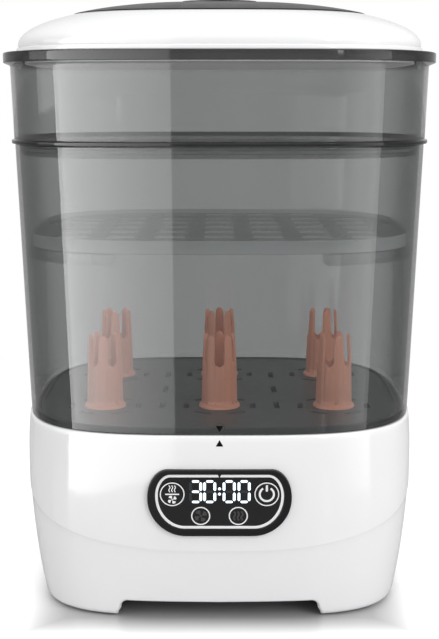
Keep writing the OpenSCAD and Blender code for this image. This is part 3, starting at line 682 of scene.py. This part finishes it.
PANEL_TILT = math.atan(2 * LOWER_SWEEP * (BASE_WIDEST_Z - PANEL_Z))
PANEL = upright_on(float(base_half_at(PANEL_Z)), PANEL_Z, PANEL_TILT)
BEZEL = (extent("control_bezel").x, 44.5, (13, 18.9), 25)
RING = (extent("panel_ring").x, 36.5, (10, 14.5), 19.2)
RING_RISE = 1
LENS_FACE, BUTTON_FACE = 1.0, 1.2
BUTTON_X = middle("power_button").x
BUTTON_Y, BUTTON_R = 6.1, extent("power_button").x / 2
LIGHT_X, LIGHT_Y = middle("steam_light").x, -8.6
DISPLAY_Y = 7.8
BACKWARD = Matrix.Rotation(math.radians(90), 4, "X")
FILTER_X, FILTER_Z = middle("filter_frame").x, middle("filter_frame").z
FILTER_W, FILTER_H = extent("filter_frame").x, extent("filter_frame").z


def make_base():
    shell = grid_piece("base_casing", base_rings(base_columns()), closed=True)
    window = rectangle_loop(FILTER_X, FILTER_Z, FILTER_W + 2.4, FILTER_H + 2.4, 3)
    gland = middle("cord_gland")
    cutters = [
        plate("bezel_cut", [panel_loop(*BEZEL, inset=-0.1)], -12, 6, place=PANEL),
        plate("filter_cut", [window], -140, -100, place=BACKWARD),
        plate("gland_cut", [circle_loop(gland.x, gland.z, GLAND_HOLE_R)], -140, -100, place=BACKWARD),
    ]
    for cutter in cutters:
        apply_modifiers(cutter)
    cut_away(shell, cutters)
    place_piece(shell, "base", "white_shell", "base_shell")


def filter_cover_rings(loop_steps):
    """Skin patch of the base over the filter, between two heights and two sides."""
    low_z, high_z = FILTER_Z - FILTER_H / 2 - 0.5, FILTER_Z + FILTER_H / 2 + 0.5
    xs = np.linspace(FILTER_X - FILTER_W / 2 - 0.5, FILTER_X + FILTER_W / 2 + 0.5, loop_steps)
    rows = []
    for z in np.linspace(low_z, high_z, 24):
        half, power = float(base_half_at(z)), float(base_power_at(z))
        y = (half - DEPTH_CUT) * (1 - np.abs(xs / half) ** power) ** (1 / power)
        rows.append(np.column_stack([xs, y - CREASE_DROP * (z < 90), np.full(loop_steps, z)]))
    return np.array(rows)


def make_filter_cover():
    """Slotted grille that carries on the curve of the rear wall."""
    rows = filter_cover_rings(36)
    levels, count = rows.shape[:2]
    inner = rows - np.array([0, WALL, 0])
    points = np.concatenate([rows.reshape(-1, 3), inner.reshape(-1, 3)])
    back = levels * count
    faces = []
    for k in range(levels - 1):
        for i in range(count - 1):
            a = k * count + i
            faces.append((a, a + count, a + count + 1, a + 1))
            faces.append((back + a, back + a + 1, back + a + count + 1, back + a + count))
    border = list(range(count)) + [k * count + count - 1 for k in range(1, levels)]
    border += [(levels - 1) * count + i for i in range(count - 2, -1, -1)]
    border += [k * count for k in range(levels - 2, 0, -1)]
    for a, b in zip(border, border[1:] + border[:1]):
        faces.append((a, b, back + b, back + a))
    mesh = bpy.data.meshes.new("filter_grille")
    mesh.from_pydata((points * MM).tolist(), [], faces)
    cover = new_object("filter_grille", finish_mesh(mesh))
    slots = [turned(slot_loop(0, 0, 32, 3), 90, FILTER_X + 6.4 * i, FILTER_Z - 2) for i in range(-4, 5)]
    slot_cut = plate("slot_cut", slots, -140, -100, place=BACKWARD)
    bpy.ops.mesh.primitive_uv_sphere_add(segments=48, ring_count=24, radius=8 * MM)
    thumb = bpy.context.object
    thumb.location = Vector((FILTER_X, 131, FILTER_Z + FILTER_H / 2 - 2)) * MM
    cut_away(cover, [apply_modifiers(slot_cut), thumb])
    round_edges(cover, 0.35, 2, 50)
    place_piece(weighted(cover), "filter_cover", "white_shell", "filter_cover")


# ---- Control panel ----


def fan_loops(radius, x, y):
    """Four curved blades round a small hub."""
    outline = ((-8, 0.2), (-16, 0.55), (-18, 0.82), (-4, 0.97), (20, 1.0), (40, 0.9), (36, 0.62),
               (18, 0.36), (30, 0.2))
    blade = [turned([(radius * reach, 0)], angle)[0] for angle, reach in outline]
    return [turned(blade, 90 * i + 20, x, y) for i in range(4)] + [circle_loop(x, y, radius * 0.14, 16)]


def steam_loops(height, pitch, width, x, y):
    """Three wavy lines of steam."""
    rise = np.linspace(-0.5, 0.5, 17)
    sway = 0.085 * height * np.sin(rise * 2 * math.pi * 1.25)
    return [stroke(np.column_stack([x + i * pitch + sway, y + rise * height]), width) for i in (-1, 0, 1)]


def power_loops(x, y):
    """Open ring with a bar in its gap."""
    outer = ellipse_arc((x, y), (5.2, 5.2), 122, 296, 40)
    inner = ellipse_arc((x, y), (3.9, 3.9), 122, 296, 40)
    return [outer + inner[::-1], rectangle_loop(x, y + 4.0, 1.4, 4.2, 0.3)]


SEGMENTS = {"top": (0, 2, 0), "middle": (0, 0, 0), "bottom": (0, -2, 0), "upper_left": (-1, 1, 90),
            "upper_right": (1, 1, 90), "lower_left": (-1, -1, 90), "lower_right": (1, -1, 90)}
DIGITS = {"3": "top middle bottom upper_right lower_right",
          "0": "top bottom upper_left upper_right lower_left lower_right"}


def segment_loop(x, y, turn):
    """Bar with blunt pointed ends."""
    length, width = (4.7, 1.6) if turn == 0 else (5.7, 1.75)
    tip = width * 0.42
    half, side = length / 2, width / 2
    bar = [(-half, -0.25), (tip - half, -side), (half - tip, -side), (half, -0.25),
           (half, 0.25), (half - tip, side), (tip - half, side), (-half, 0.25)]
    return turned(bar, turn, x, y)


def digit_loops(character, x, y, is_lit):
    wanted = DIGITS[character].split()
    return [segment_loop(x + 3.3 * sx, y + 3.45 * sy, turn) for name, (sx, sy, turn) in SEGMENTS.items()
            if (name in wanted) == is_lit]


def panel_mark(name, loops, proud, material, body, slot_name, face=LENS_FACE):
    """Flat mark that stands a little proud of the panel window or of a button."""
    piece = plate(name, loops, face - 0.05, face + proud, 0, PANEL)
    mark(piece, material, body, slot_name)


def make_panel():
    holes = [circle_loop(side * BUTTON_X, BUTTON_Y, BUTTON_R + 0.4) for side in (-1, 1)]
    outline = [panel_loop(*BEZEL), panel_loop(*RING, inset=-0.1, rise=RING_RISE)]
    bezel = plate("panel_surround", outline, -4, 2, 0.7, PANEL)
    mark(bezel, "bezel_black", "base", "black_gloss", "control_bezel")
    outline = [panel_loop(*RING, rise=RING_RISE), panel_loop(*RING, inset=1.8, rise=RING_RISE)]
    ring = plate("panel_trim_ring", outline, -1.2, 1.4, 0.3, PANEL)
    place_piece(ring, "base", "white_shell", "panel_ring")
    outline = [panel_loop(*RING, inset=1.85, rise=RING_RISE)] + holes
    lens = plate("panel_window", outline, -1.2, LENS_FACE, 0.2, PANEL)
    place_piece(lens, "base", "black_gloss", "panel_lens")
    rings = []
    for side in (-1, 1):
        rings += [circle_loop(side * LIGHT_X, LIGHT_Y, 6.15), circle_loop(side * LIGHT_X, LIGHT_Y, 5.4)]
    panel_mark("indicator_rings", rings, 0.06, "mark_white", "base", "white_shell")
    dim = fan_loops(4.2, -LIGHT_X, LIGHT_Y) + steam_loops(6, 2.4, 1.05, LIGHT_X, LIGHT_Y)
    panel_mark("indicator_symbols", dim, 0.04, "mark_dim", "base", "black_gloss")
    notch = [(-1.15, 19.4), (0, 17.0), (1.15, 19.4)]
    mark(plate("ring_notch", [notch], 1.2, 1.48, 0, PANEL), "mark_black", "base", "black_gloss")
    lit_loops, off_loops = [], []
    for character, x in (("3", -15.35), ("0", -6.3), ("0", 6.2), ("0", 15.8)):
        lit_loops += digit_loops(character, x, DISPLAY_Y, True)
        off_loops += digit_loops(character, x, DISPLAY_Y, False)
    lit_loops += [circle_loop(0, DISPLAY_Y + rise, 0.95, 24) for rise in (1.95, -1.6)]
    panel_mark("display_digits", lit_loops, 0.05, "segment_lit", "base", "light_pipe")
    panel_mark("display_off_segments", off_loops, 0.03, "segment_off", "base", "black_gloss")
    symbols = {
        "mode_button": steam_loops(4.5, 1.75, 0.62, -BUTTON_X, BUTTON_Y + 3.7)
        + [rectangle_loop(-BUTTON_X, BUTTON_Y, 9, 0.85, 0.2)] + fan_loops(3.0, -BUTTON_X, BUTTON_Y - 3.6),
        "power_button": power_loops(BUTTON_X, BUTTON_Y),
    }
    for side, name in ((-1, "mode_button"), (1, "power_button")):
        x, y = side * BUTTON_X, BUTTON_Y
        key = plate(name + "_cap", [circle_loop(x, y, BUTTON_R, 96)], -1.6, BUTTON_FACE, 0.3, PANEL)
        place_piece(key, name, "black_gloss", name)
        edge = [circle_loop(x, y, BUTTON_R - 0.15, 96), circle_loop(x, y, BUTTON_R - 0.85, 96)]
        panel_mark(name + "_ring", edge, 0.06, "mark_white", name, "white_shell", BUTTON_FACE)
        panel_mark(name + "_symbol", symbols[name], 0.06, "mark_white", name, "white_shell", BUTTON_FACE)


def make_arrows():
    """Pair of arrows that line up when the housing sits on the base."""
    z = BASE_TOP - 4.5
    lean = -math.atan(2 * UPPER_SWEEP * (z - BASE_WIDEST_Z))
    triangle = [(-2.4, -2.1), (2.4, -2.1), (0, 2.1)]
    up = plate("base_arrow", [triangle], -0.1, 0.08, 0, upright_on(float(base_half_at(z)), z, lean))
    mark(up, "mark_black", "base", "black_gloss")
    z = BASE_TOP + 4.5
    place = upright_on(housing_half_at(z), z, housing_lean())
    down = plate("housing_arrow", [turned(triangle, 180)], -0.1, 0.1, 0, place)
    mark(down, "mark_black", "housing", "black_gloss")
    ring = [circle_loop(0, 0.4, 3.6), circle_loop(0, 0.4, 3.25)]
    place_piece(plate("housing_arrow_ring", ring, -0.05, 0.2, 0.05, place), "housing", "smoke_clear")


# ---- Chamber ----

HOUSING_TOP = high("housing").z
HOUSING_FOOT_HALF = 132
HOUSING_MOUTH_HALF = high("housing").x
SKIRT_HALF = 128.6


def housing_half_at(z):
    rise = (z - BASE_TOP) / (HOUSING_TOP - BASE_TOP)
    return HOUSING_FOOT_HALF + (HOUSING_MOUTH_HALF - HOUSING_FOOT_HALF) * rise


def housing_lean():
    return math.atan((HOUSING_MOUTH_HALF - HOUSING_FOOT_HALF) / (HOUSING_TOP - BASE_TOP))


def make_housing():
    foot = BASE_TOP + 0.3
    skirt = low("housing").z
    wall = swept_piece("housing_wall", [
        (SKIRT_HALF, skirt, 0.6), (SKIRT_HALF, foot, 0.2), (HOUSING_FOOT_HALF, foot, 1.0),
        (HOUSING_MOUTH_HALF, HOUSING_TOP, 0.7), (HOUSING_MOUTH_HALF - WALL, HOUSING_TOP, 0.7),
        (housing_half_at(foot + 4) - WALL, foot + 4, 1.5), (SKIRT_HALF - 2.2, foot, 1.5),
        (SKIRT_HALF - 2.2, skirt, 0.6)])
    place_piece(weighted(wall), "housing", "smoke_clear", "housing")
    ledge_top = low("mid_rack").z - 0.3
    for sx, sy in ((1, 1), (-1, 1), (-1, -1), (1, -1)):
        part = [i for i, a in enumerate(ROUND) if sx * math.cos(a) > 0.32 and sy * math.sin(a) > 0.32]
        angles = ROUND[part]
        corners = [(127, ledge_top, 0.4), (127, ledge_top - 5, 0.4), (132.6, ledge_top - 7, 0),
                   (132.6, ledge_top, 0)]
        section = rounded_section(corners, 3)
        rings = [[(*plan(p[0], a, PLAN_POWER)[0], p[1]) for p in section] for a in angles]
        name = "housing_ledge_" + ("right" if sx > 0 else "left") + ("_rear" if sy > 0 else "_front")
        mark(grid_piece(name, rings, caps=True), "smoke_thin", "housing", "smoke_clear")
    for side, word in ((-1, "left"), (1, "right")):
        rib = rectangle_loop(side * 129, 0, 8, 3.2, 0.8)
        piece = plate("housing_rib_" + word, [rib], 140, ledge_top, 0.4)
        mark(piece, "smoke_thin", "housing", "smoke_clear")


def light_edges(piece):
    """Cut edges of a clear plate catch the light."""
    piece.data.materials.append(MATERIALS["smoke_edge"])
    for face in piece.data.polygons:
        face.material_index = int(abs(face.normal.z) < 0.5)


def rack_holes(shape, pitch_x, pitch_y):
    """Holes in a seven by seven grid without its corners."""
    return [shape(column * pitch_x, row * pitch_y) for row in range(-3, 4) for column in range(-3, 4)
            if abs(row) < 3 or abs(column) < 3]


def outline_loop(half):
    return [tuple(p) for p in plan(half, ROUND)]


def make_mid_rack():
    top, foot, half = high("mid_rack").z, low("mid_rack").z, high("mid_rack").x
    floor = top - 3
    holes = rack_holes(lambda x, y: rectangle_loop(x, y, 21, 13, 3), 33, 34)
    plate_piece = plate("middle_rack_floor", [outline_loop(half - 1.9)] + holes, floor - 2.5, floor, 0.7)
    light_edges(mark(plate_piece, "smoke_rack", "mid_rack", "smoke_clear", "mid_rack"))
    rim = swept_piece("middle_rack_rim", [
        (half, foot, 0.7), (half, top, 0.9), (half - 2, top, 0.9), (half - 2, foot, 0.7)])
    mark(weighted(rim), "smoke_edge", "mid_rack", "smoke_clear")


def make_tray():
    foot = HOUSING_TOP + 0.3
    skirt_half, rim_half = 134.6, high("upper_tray").x
    skirt = low("upper_tray").z
    rim_foot = RIM_TOP - 6.4
    wall = swept_piece("upper_tray_wall", [
        (skirt_half, skirt, 0.7), (skirt_half + 0.4, foot, 0.3), (140.8, foot, 0.7), (140.8, foot + 2.6, 0.7),
        (139.1, foot + 2.6, 0.6), (140.7, rim_foot - 1.8, 1.2), (rim_half, rim_foot, 0.9),
        (rim_half, RIM_TOP, 1.0), (132.8, RIM_TOP, 0.5), (132.8, RIM_TOP - 2.4, 0.5),
        (138.1, RIM_TOP - 2.4, 0.8), (138.1, rim_foot, 0.4),
        (136.5, foot + 2.6, 1.5), (132.4, foot, 1.5), (132, skirt, 0.7)])
    place_piece(weighted(wall), "upper_tray", "smoke_clear", "upper_tray")
    wall.data.materials.append(MATERIALS["smoke_rim"])
    for face in wall.data.polygons:
        z = face.center.z / MM
        face.material_index = int(z > rim_foot - 0.6 or foot - 0.2 < z < foot + 3)
    holes = rack_holes(lambda x, y: slot_loop(x, y, 16, 5), 31, 30)
    floor = plate("upper_tray_floor", [outline_loop(133)] + holes, foot - 5, foot - 2.6, 0.6)
    place_piece(floor, "upper_tray", "smoke_clear")
    light_edges(floor)


def peg_radius(z, height):
    """Outer radius of a peg, which narrows above the foot of its slots."""
    shoulder = height - PEG_SLOT_DEPTH + 4
    body, neck = PEG_BASE_R - 0.8, PEG_BASE_R - 1.5
    if z < shoulder:
        return body + (neck - body) * max(0, z - 3.2) / (shoulder - 3.2)
    return neck - (neck - PEG_TIP_R - 0.4) * ((z - shoulder) / (height - shoulder)) ** 1.2


def peg_mesh():
    """Hollow peg whose crown is cut into fingers with rounded tips."""
    height = high("peg_front_middle").z - high("bottle_rack").z + 1
    outer = [(14.2, 0.2), (14.2, 1.1), (13.9, 1.6), (13.3, 2.2)]
    heights = (3.2, 6, 10, 15, 20, 25, 29, 32, 34, 36, 38, 41, 44, 47, 49.4)
    outer += [(peg_radius(z, height), z) for z in heights]
    outer += [(PEG_TIP_R + 0.1, height - 0.5), (PEG_TIP_R - 0.5, height)]
    inner = [(PEG_TIP_R - 1.6, height - 0.1), (PEG_TIP_R - 2.1, height - 0.8)]
    inner += [(peg_radius(z, height) - 2.2, z) for z in (47, 41, 36, 32, 20, 3.4)]
    inner += [(PEG_BASE_R - 3.4, 2.2), (0.01, 2.2)]
    angles = np.linspace(0, 2 * np.pi, 120, endpoint=False)
    rings = []
    for radius, z in [(0.01, 0)] + outer + inner:
        fluted = 3 < z < height - 1 and radius > 9.6
        depth = 0.5 if fluted else 0
        r = radius - depth * np.maximum(0, np.cos(2 * PEG_SLOTS * (angles + math.pi / 2 + math.pi / 10))) ** 4
        rings.append(np.column_stack([r * np.cos(angles), r * np.sin(angles), np.full(120, z)]))
    peg = grid_piece("peg_shape", rings, caps=True)
    foot = height - PEG_SLOT_DEPTH
    half = PEG_SLOT_W / 2
    side = [(half * 0.45, foot + 0.9), (half * 0.85, foot + 2.2), (half, foot + 4), (half, height - 5),
            (half + 0.35, height - 2.4), (half + 1.2, height - 0.9), (half + 2.2, height + 0.3),
            (half + 2.2, height + 3)]
    loop = [(0, foot)] + side + [(-x, z) for x, z in reversed(side)]
    cutters = []
    for i in range(PEG_SLOTS):
        outward = Matrix.Rotation(math.radians(360 / PEG_SLOTS * i), 4, "Z") @ BACKWARD
        cutters.append(apply_modifiers(plate("slot_%d" % i, [loop], 4, 18, place=outward)))
    cut_away(peg, cutters)
    round_edges(peg, 0.5, 3, 38)
    bpy.context.view_layer.update()
    apply_modifiers(peg)
    mesh = finish_mesh(peg.data, 60)
    bpy.data.objects.remove(peg)
    return mesh


def make_pegs():
    shape = peg_mesh()
    for row in ("front", "rear"):
        for column in ("left", "middle", "right"):
            node = "peg_%s_%s" % (row, column)
            centre = middle(node)
            mesh = shape.copy()
            turn = Matrix.Rotation({"left": 0.62, "middle": 0, "right": -0.4}[column], 4, "Z")
            foot = Vector((centre.x, centre.y, high("bottle_rack").z - 1))
            mesh.transform(Matrix.Translation(foot * MM) @ turn)
            place_piece(new_object("bottle_" + node, mesh), "bottle_rack", "peg_salmon", node)


# ---- Lid ----


def dome_level(share, drop=0.0):
    """Half width, height and plan power of the dome at a share of its half width."""
    z = DOME_Z - drop + DOME_RISE * max(0, 1 - share**DOME_POWER) ** (1 / DOME_POWER)
    power = DOME_MIDDLE_POWER + (PLAN_POWER - DOME_MIDDLE_POWER) * max(0, share - CAP_SHARE) / (1 - CAP_SHARE)
    return DOME_HALF * share, z, power


def scooped(ring):
    """Shallow finger scoops in the two sides of the dome."""
    x, y = np.abs(ring[:, 0]), ring[:, 1]
    across = (x - 111) / 8
    along = (y + 8) / 44
    depth = 1.5 * np.clip(1 - across**2 - along**2, 0, 1) ** 0.5
    ring[:, 2] -= depth
    return ring


def make_lid():
    flange_z = low("lid_shell").z
    flange_half, flange_t = high("lid_shell").x, 2.6
    flange_top = flange_z + flange_t
    flat = [(flange_half - 0.5, flange_z), (flange_half, flange_z + 0.5), (flange_half, flange_top - 0.7),
            (flange_half - 0.25, flange_top - 0.2), (flange_half - 0.8, flange_top),
            (DOME_HALF - 0.4, flange_top + 0.15), (DOME_HALF - 0.2, flange_top + 0.7)]
    rings = [level_ring(half, z) for half, z in flat]
    shares = 1 - (1 - CAP_SHARE) * (np.linspace(0, 1, 34) ** 1.7)
    rings += [scooped(level_ring(*dome_level(share))) for share in shares]
    rings += [level_ring(*dome_level(CAP_SHARE, 1.8)), level_ring(*dome_level(CAP_SHARE - 0.04, 1.8)),
              level_ring(*dome_level(CAP_SHARE - 0.04, 3.8))]
    rings += [level_ring(*dome_level(share, 3.2)) for share in (0.83, 0.9, 0.95, 0.975)]
    rings += [level_ring(132.4, flange_top), level_ring(132.4, flange_z)]
    shell = grid_piece("lid_dome", rings, closed=True)
    place_piece(weighted(shell), "lid", "white_shell", "lid_shell")
    proud = 0.6
    edge = CAP_SHARE - 0.003
    levels = [dome_level(edge - 0.037, 1.75), dome_level(edge, 1.75), dome_level(edge, -0.1)]
    levels += [dome_level(edge - 0.002, -0.4), dome_level(edge - 0.006, -proud)]
    levels += [dome_level(share, -proud) for share in edge - 0.02 - (edge - 0.025) * np.linspace(0, 1, 22)]
    cap = grid_piece("lid_top_cap", [level_ring(*level) for level in levels], caps=True)
    mark(weighted(cap), "cap_black", "lid", "black_gloss", "lid_cap")


# ---- Pieces that keep the CAD shape, with rounded edges ----

ROUNDED = {
    "bottle_rack": 0.6, "lid_vent": 0.3, "foot_front_left": 0.5, "foot_front_right": 0.5,
    # The bottom cover takes the dark charcoal finish of its slot in the record as painted shade: it darkens
    # the view and the floor under the arch.
    "foot_rear_left": 0.5, "foot_rear_right": 0.5, "cord_gland": 0.6, "bottom_cover": 0.5,
    "heating_deck": 0.5, "air_outlet_cap": 0.4, "filter_frame": 0.4, "lid_liner": 0.4,
    "heating_plate": 0.25, "terminal_block": 0.5, "power_relay": 0.5, "power_capacitor": 0.6,
    "fan_housing": 0.3, "fan_cover": 0.3, "fan_motor": 0.5, "thermostat": 0.3, "impeller": 0.15,
    "heater_element": 0.5, "heater_bracket": 0.2, "lid_seal": 0.2, "plate_seal": 0.2,
}


def body_of_node(node):
    return frame["nodes"][node]["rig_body"]


def slot_of_node(node):
    for row in frame["record"]["subparts"]:
        if row["node"] == node:
            return row["material_slot"]
    raise KeyError(node)


def make_rounded():
    for node, width in ROUNDED.items():
        place_piece(rounded_copy(node, width), body_of_node(node), slot_of_node(node), node)


def paint_cad_nodes():
    for node, piece in frame["nodes"].items():
        for used in piece.material_slots:
            used.material = MATERIALS[slot_of_node(node)]


def let_light_in():
    """Clear pieces don't shade what stands inside them."""
    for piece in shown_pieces():
        if any(used.material and used.material.name.startswith("smoke") for used in piece.material_slots):
            piece.visible_shadow = False
            piece.visible_diffuse = False


# ---- Floor and light ----

# The floor's colour is darkened within a few centimetres of the base's foot, a painted contact shadow; these
# are its half sizes there.
SHADE_HALF_X, SHADE_HALF_Y, SHADE_REACH = 102, 112, 28
FLOOR_HALF = 14000
SOFTBOX_RADIUS, SOFTBOX_FOOT, SOFTBOX_TOP = 480, 1, 1000
WORLD_LIGHT = 0.72


def stage_material(name, build):
    material, tree = blank_material(name)
    add(tree, "OutputMaterial", {"Surface": build(tree)})
    return material


def floor_shader(tree):
    """White floor with a painted contact shadow close to the base and a painted glow around it, seen only by
    the camera; it runs out into plain white light.

    The camera sees it brighter than it lights the object.
    """
    gloss = remap(tree, noise(tree, 12, 3), 0.12, 0.2)
    place = add(tree, "TexCoord").outputs["Object"]
    mirrored = add(tree, "VectorMath", {0: place}, operation="ABSOLUTE").outputs["Vector"]
    axes = add(tree, "SeparateXYZ", {"Vector": mirrored})
    beside = maths(tree, "SUBTRACT", axes.outputs["X"], SHADE_HALF_X * MM)
    ahead = maths(tree, "SUBTRACT", axes.outputs["Y"], SHADE_HALF_Y * MM)
    clear = maths(tree, "MAXIMUM", beside, ahead)
    # Painted glow: emission on the floor that rises away from the base's foot, seen only by the camera.
    painted_light_pool = add(tree, "MapRange", {"Value": clear, "From Min": 8 * MM, "From Max": 42 * MM, "To Max": 0.3},
               interpolation_type="SMOOTHSTEP").outputs["Result"]
    seen = add(tree, "LightPath").outputs["Is Camera Ray"]
    glow = maths(tree, "MULTIPLY", painted_light_pool, seen)
    # Painted contact shadow: the floor's reflectance falls from 0.93 to 0.45 towards the base's foot.
    painted_shadow_albedo = add(tree, "MapRange", {"Value": clear, "From Min": 0.0, "From Max": SHADE_REACH * MM,
                     "To Min": 0.45, "To Max": 0.93}).outputs["Result"]
    bounce = maths(tree, "MINIMUM", painted_shadow_albedo, 0.5)
    white = add(tree, "Mix", {"Factor": seen, "A": bounce, "B": painted_shadow_albedo}).outputs["Result"]
    inputs = {"Base Color": white, "Roughness": gloss, "Emission Color": (1, 1, 1, 1),
              "Emission Strength": glow}
    near = add(tree, "BsdfPrincipled", inputs).outputs["BSDF"]
    far_glow = remap(tree, seen, 0.5, 1.0)
    far = add(tree, "Emission", {"Color": (1, 1, 1, 1), "Strength": far_glow}).outputs["Emission"]
    away = add(tree, "VectorMath", {0: place}, operation="LENGTH").outputs["Value"]
    fade = add(tree, "MapRange", {"Value": away, "From Min": 0.3, "From Max": 0.8},
               interpolation_type="SMOOTHSTEP")
    return add(tree, "MixShader", {0: fade.outputs["Result"], 1: near, 2: far}).outputs["Shader"]


def make_floor():
    corners = [(-FLOOR_HALF, -FLOOR_HALF), (FLOOR_HALF, -FLOOR_HALF), (FLOOR_HALF, FLOOR_HALF),
               (-FLOOR_HALF, FLOOR_HALF)]
    floor = plate("floor", [corners], -10, 0)
    floor.data.materials.clear()
    floor.data.materials.append(stage_material("floor", floor_shader))


def softbox(name, azimuths, strengths, ease=1.0):
    """Upright light panel between two azimuths, counted from the front towards +X, with a smooth fall-off."""
    sides = [SOFTBOX_RADIUS * np.array([math.sin(t), -math.cos(t)]) for t in np.radians(azimuths)]
    levels = ((0, SOFTBOX_FOOT), (1, SOFTBOX_FOOT), (1, SOFTBOX_TOP), (0, SOFTBOX_TOP))
    points = [(*sides[i], z) for i, z in levels]
    mesh = bpy.data.meshes.new(name)
    mesh.from_pydata([tuple(v * MM for v in p) for p in points], [], [(0, 1, 2, 3)])
    across = mesh.uv_layers.new(name="across")
    for corner, uv in enumerate([(0, 0), (1, 0), (1, 1), (0, 1)]):
        across.data[corner].uv = uv

    def shader(tree):
        place = add(tree, "UVMap", uv_map="across").outputs["UV"]
        side = add(tree, "SeparateXYZ", {"Vector": place}).outputs["X"]
        eased = maths(tree, "POWER", side, ease)
        power = remap(tree, eased, strengths[0], strengths[1])
        return add(tree, "Emission", {"Color": (1, 1, 1, 1), "Strength": power}).outputs["Emission"]

    panel = new_object(name, mesh)
    mesh.materials.append(stage_material(name, shader))
    panel.visible_camera = False
    panel.visible_diffuse = False
    panel.visible_shadow = False


def area_light(name, place, target, size, power):
    data = bpy.data.lights.new(name, "AREA")
    data.shape = "RECTANGLE"
    data.size, data.size_y = size
    data.energy = power
    lamp = bpy.data.objects.new(name, data)
    bpy.context.scene.collection.objects.link(lamp)
    lamp.location = place
    lamp.rotation_euler = (Vector(target) - Vector(place)).to_track_quat("-Z", "Y").to_euler()
    lamp.visible_camera = False


def make_world():
    """White to the eye, and a softer grey to everything that it lights."""
    world = bpy.data.worlds.new("studio")
    bpy.context.scene.world = world
    world.use_nodes = True
    tree = world.node_tree
    tree.nodes.clear()
    seen = add(tree, "Background", {"Color": (1, 1, 1, 1), "Strength": 1.0}).outputs["Background"]
    soft = add(tree, "Background", {"Color": (1, 1, 1, 1), "Strength": WORLD_LIGHT}).outputs["Background"]
    by_eye = add(tree, "LightPath").outputs["Is Camera Ray"]
    whole = add(tree, "MixShader", {0: by_eye, 1: soft, 2: seen}).outputs["Shader"]
    add(tree, "OutputWorld", {"Surface": whole})


def make_lights():
    make_world()
    softbox("left_softbox", (-59.5, -7), (7.5, 1.9), 0.6)
    softbox("right_softbox", (29, 59), (0.5, 2.4))
    area_light("overhead", (0.1, -0.1, 1.7), (0, 0, 0.3), (1.8, 1.8), 9.5)
    area_light("fill", (-1.7, -0.5, 0.7), (0, 0, 0.2), (1.0, 1.0), 5)
    area_light("key", (1.3, -1.5, 1.0), (0, 0, 0.1), (1.2, 1.2), 19)
    scene = bpy.context.scene
    scene.view_settings.view_transform = "Standard"
    scene.cycles.transparent_max_bounces = 48


make_camera()
paint_cad_nodes()
make_base()
make_filter_cover()
make_panel()
make_arrows()
make_housing()
make_mid_rack()
make_tray()
make_pegs()
make_lid()
make_rounded()
let_light_in()
make_floor()
make_lights()
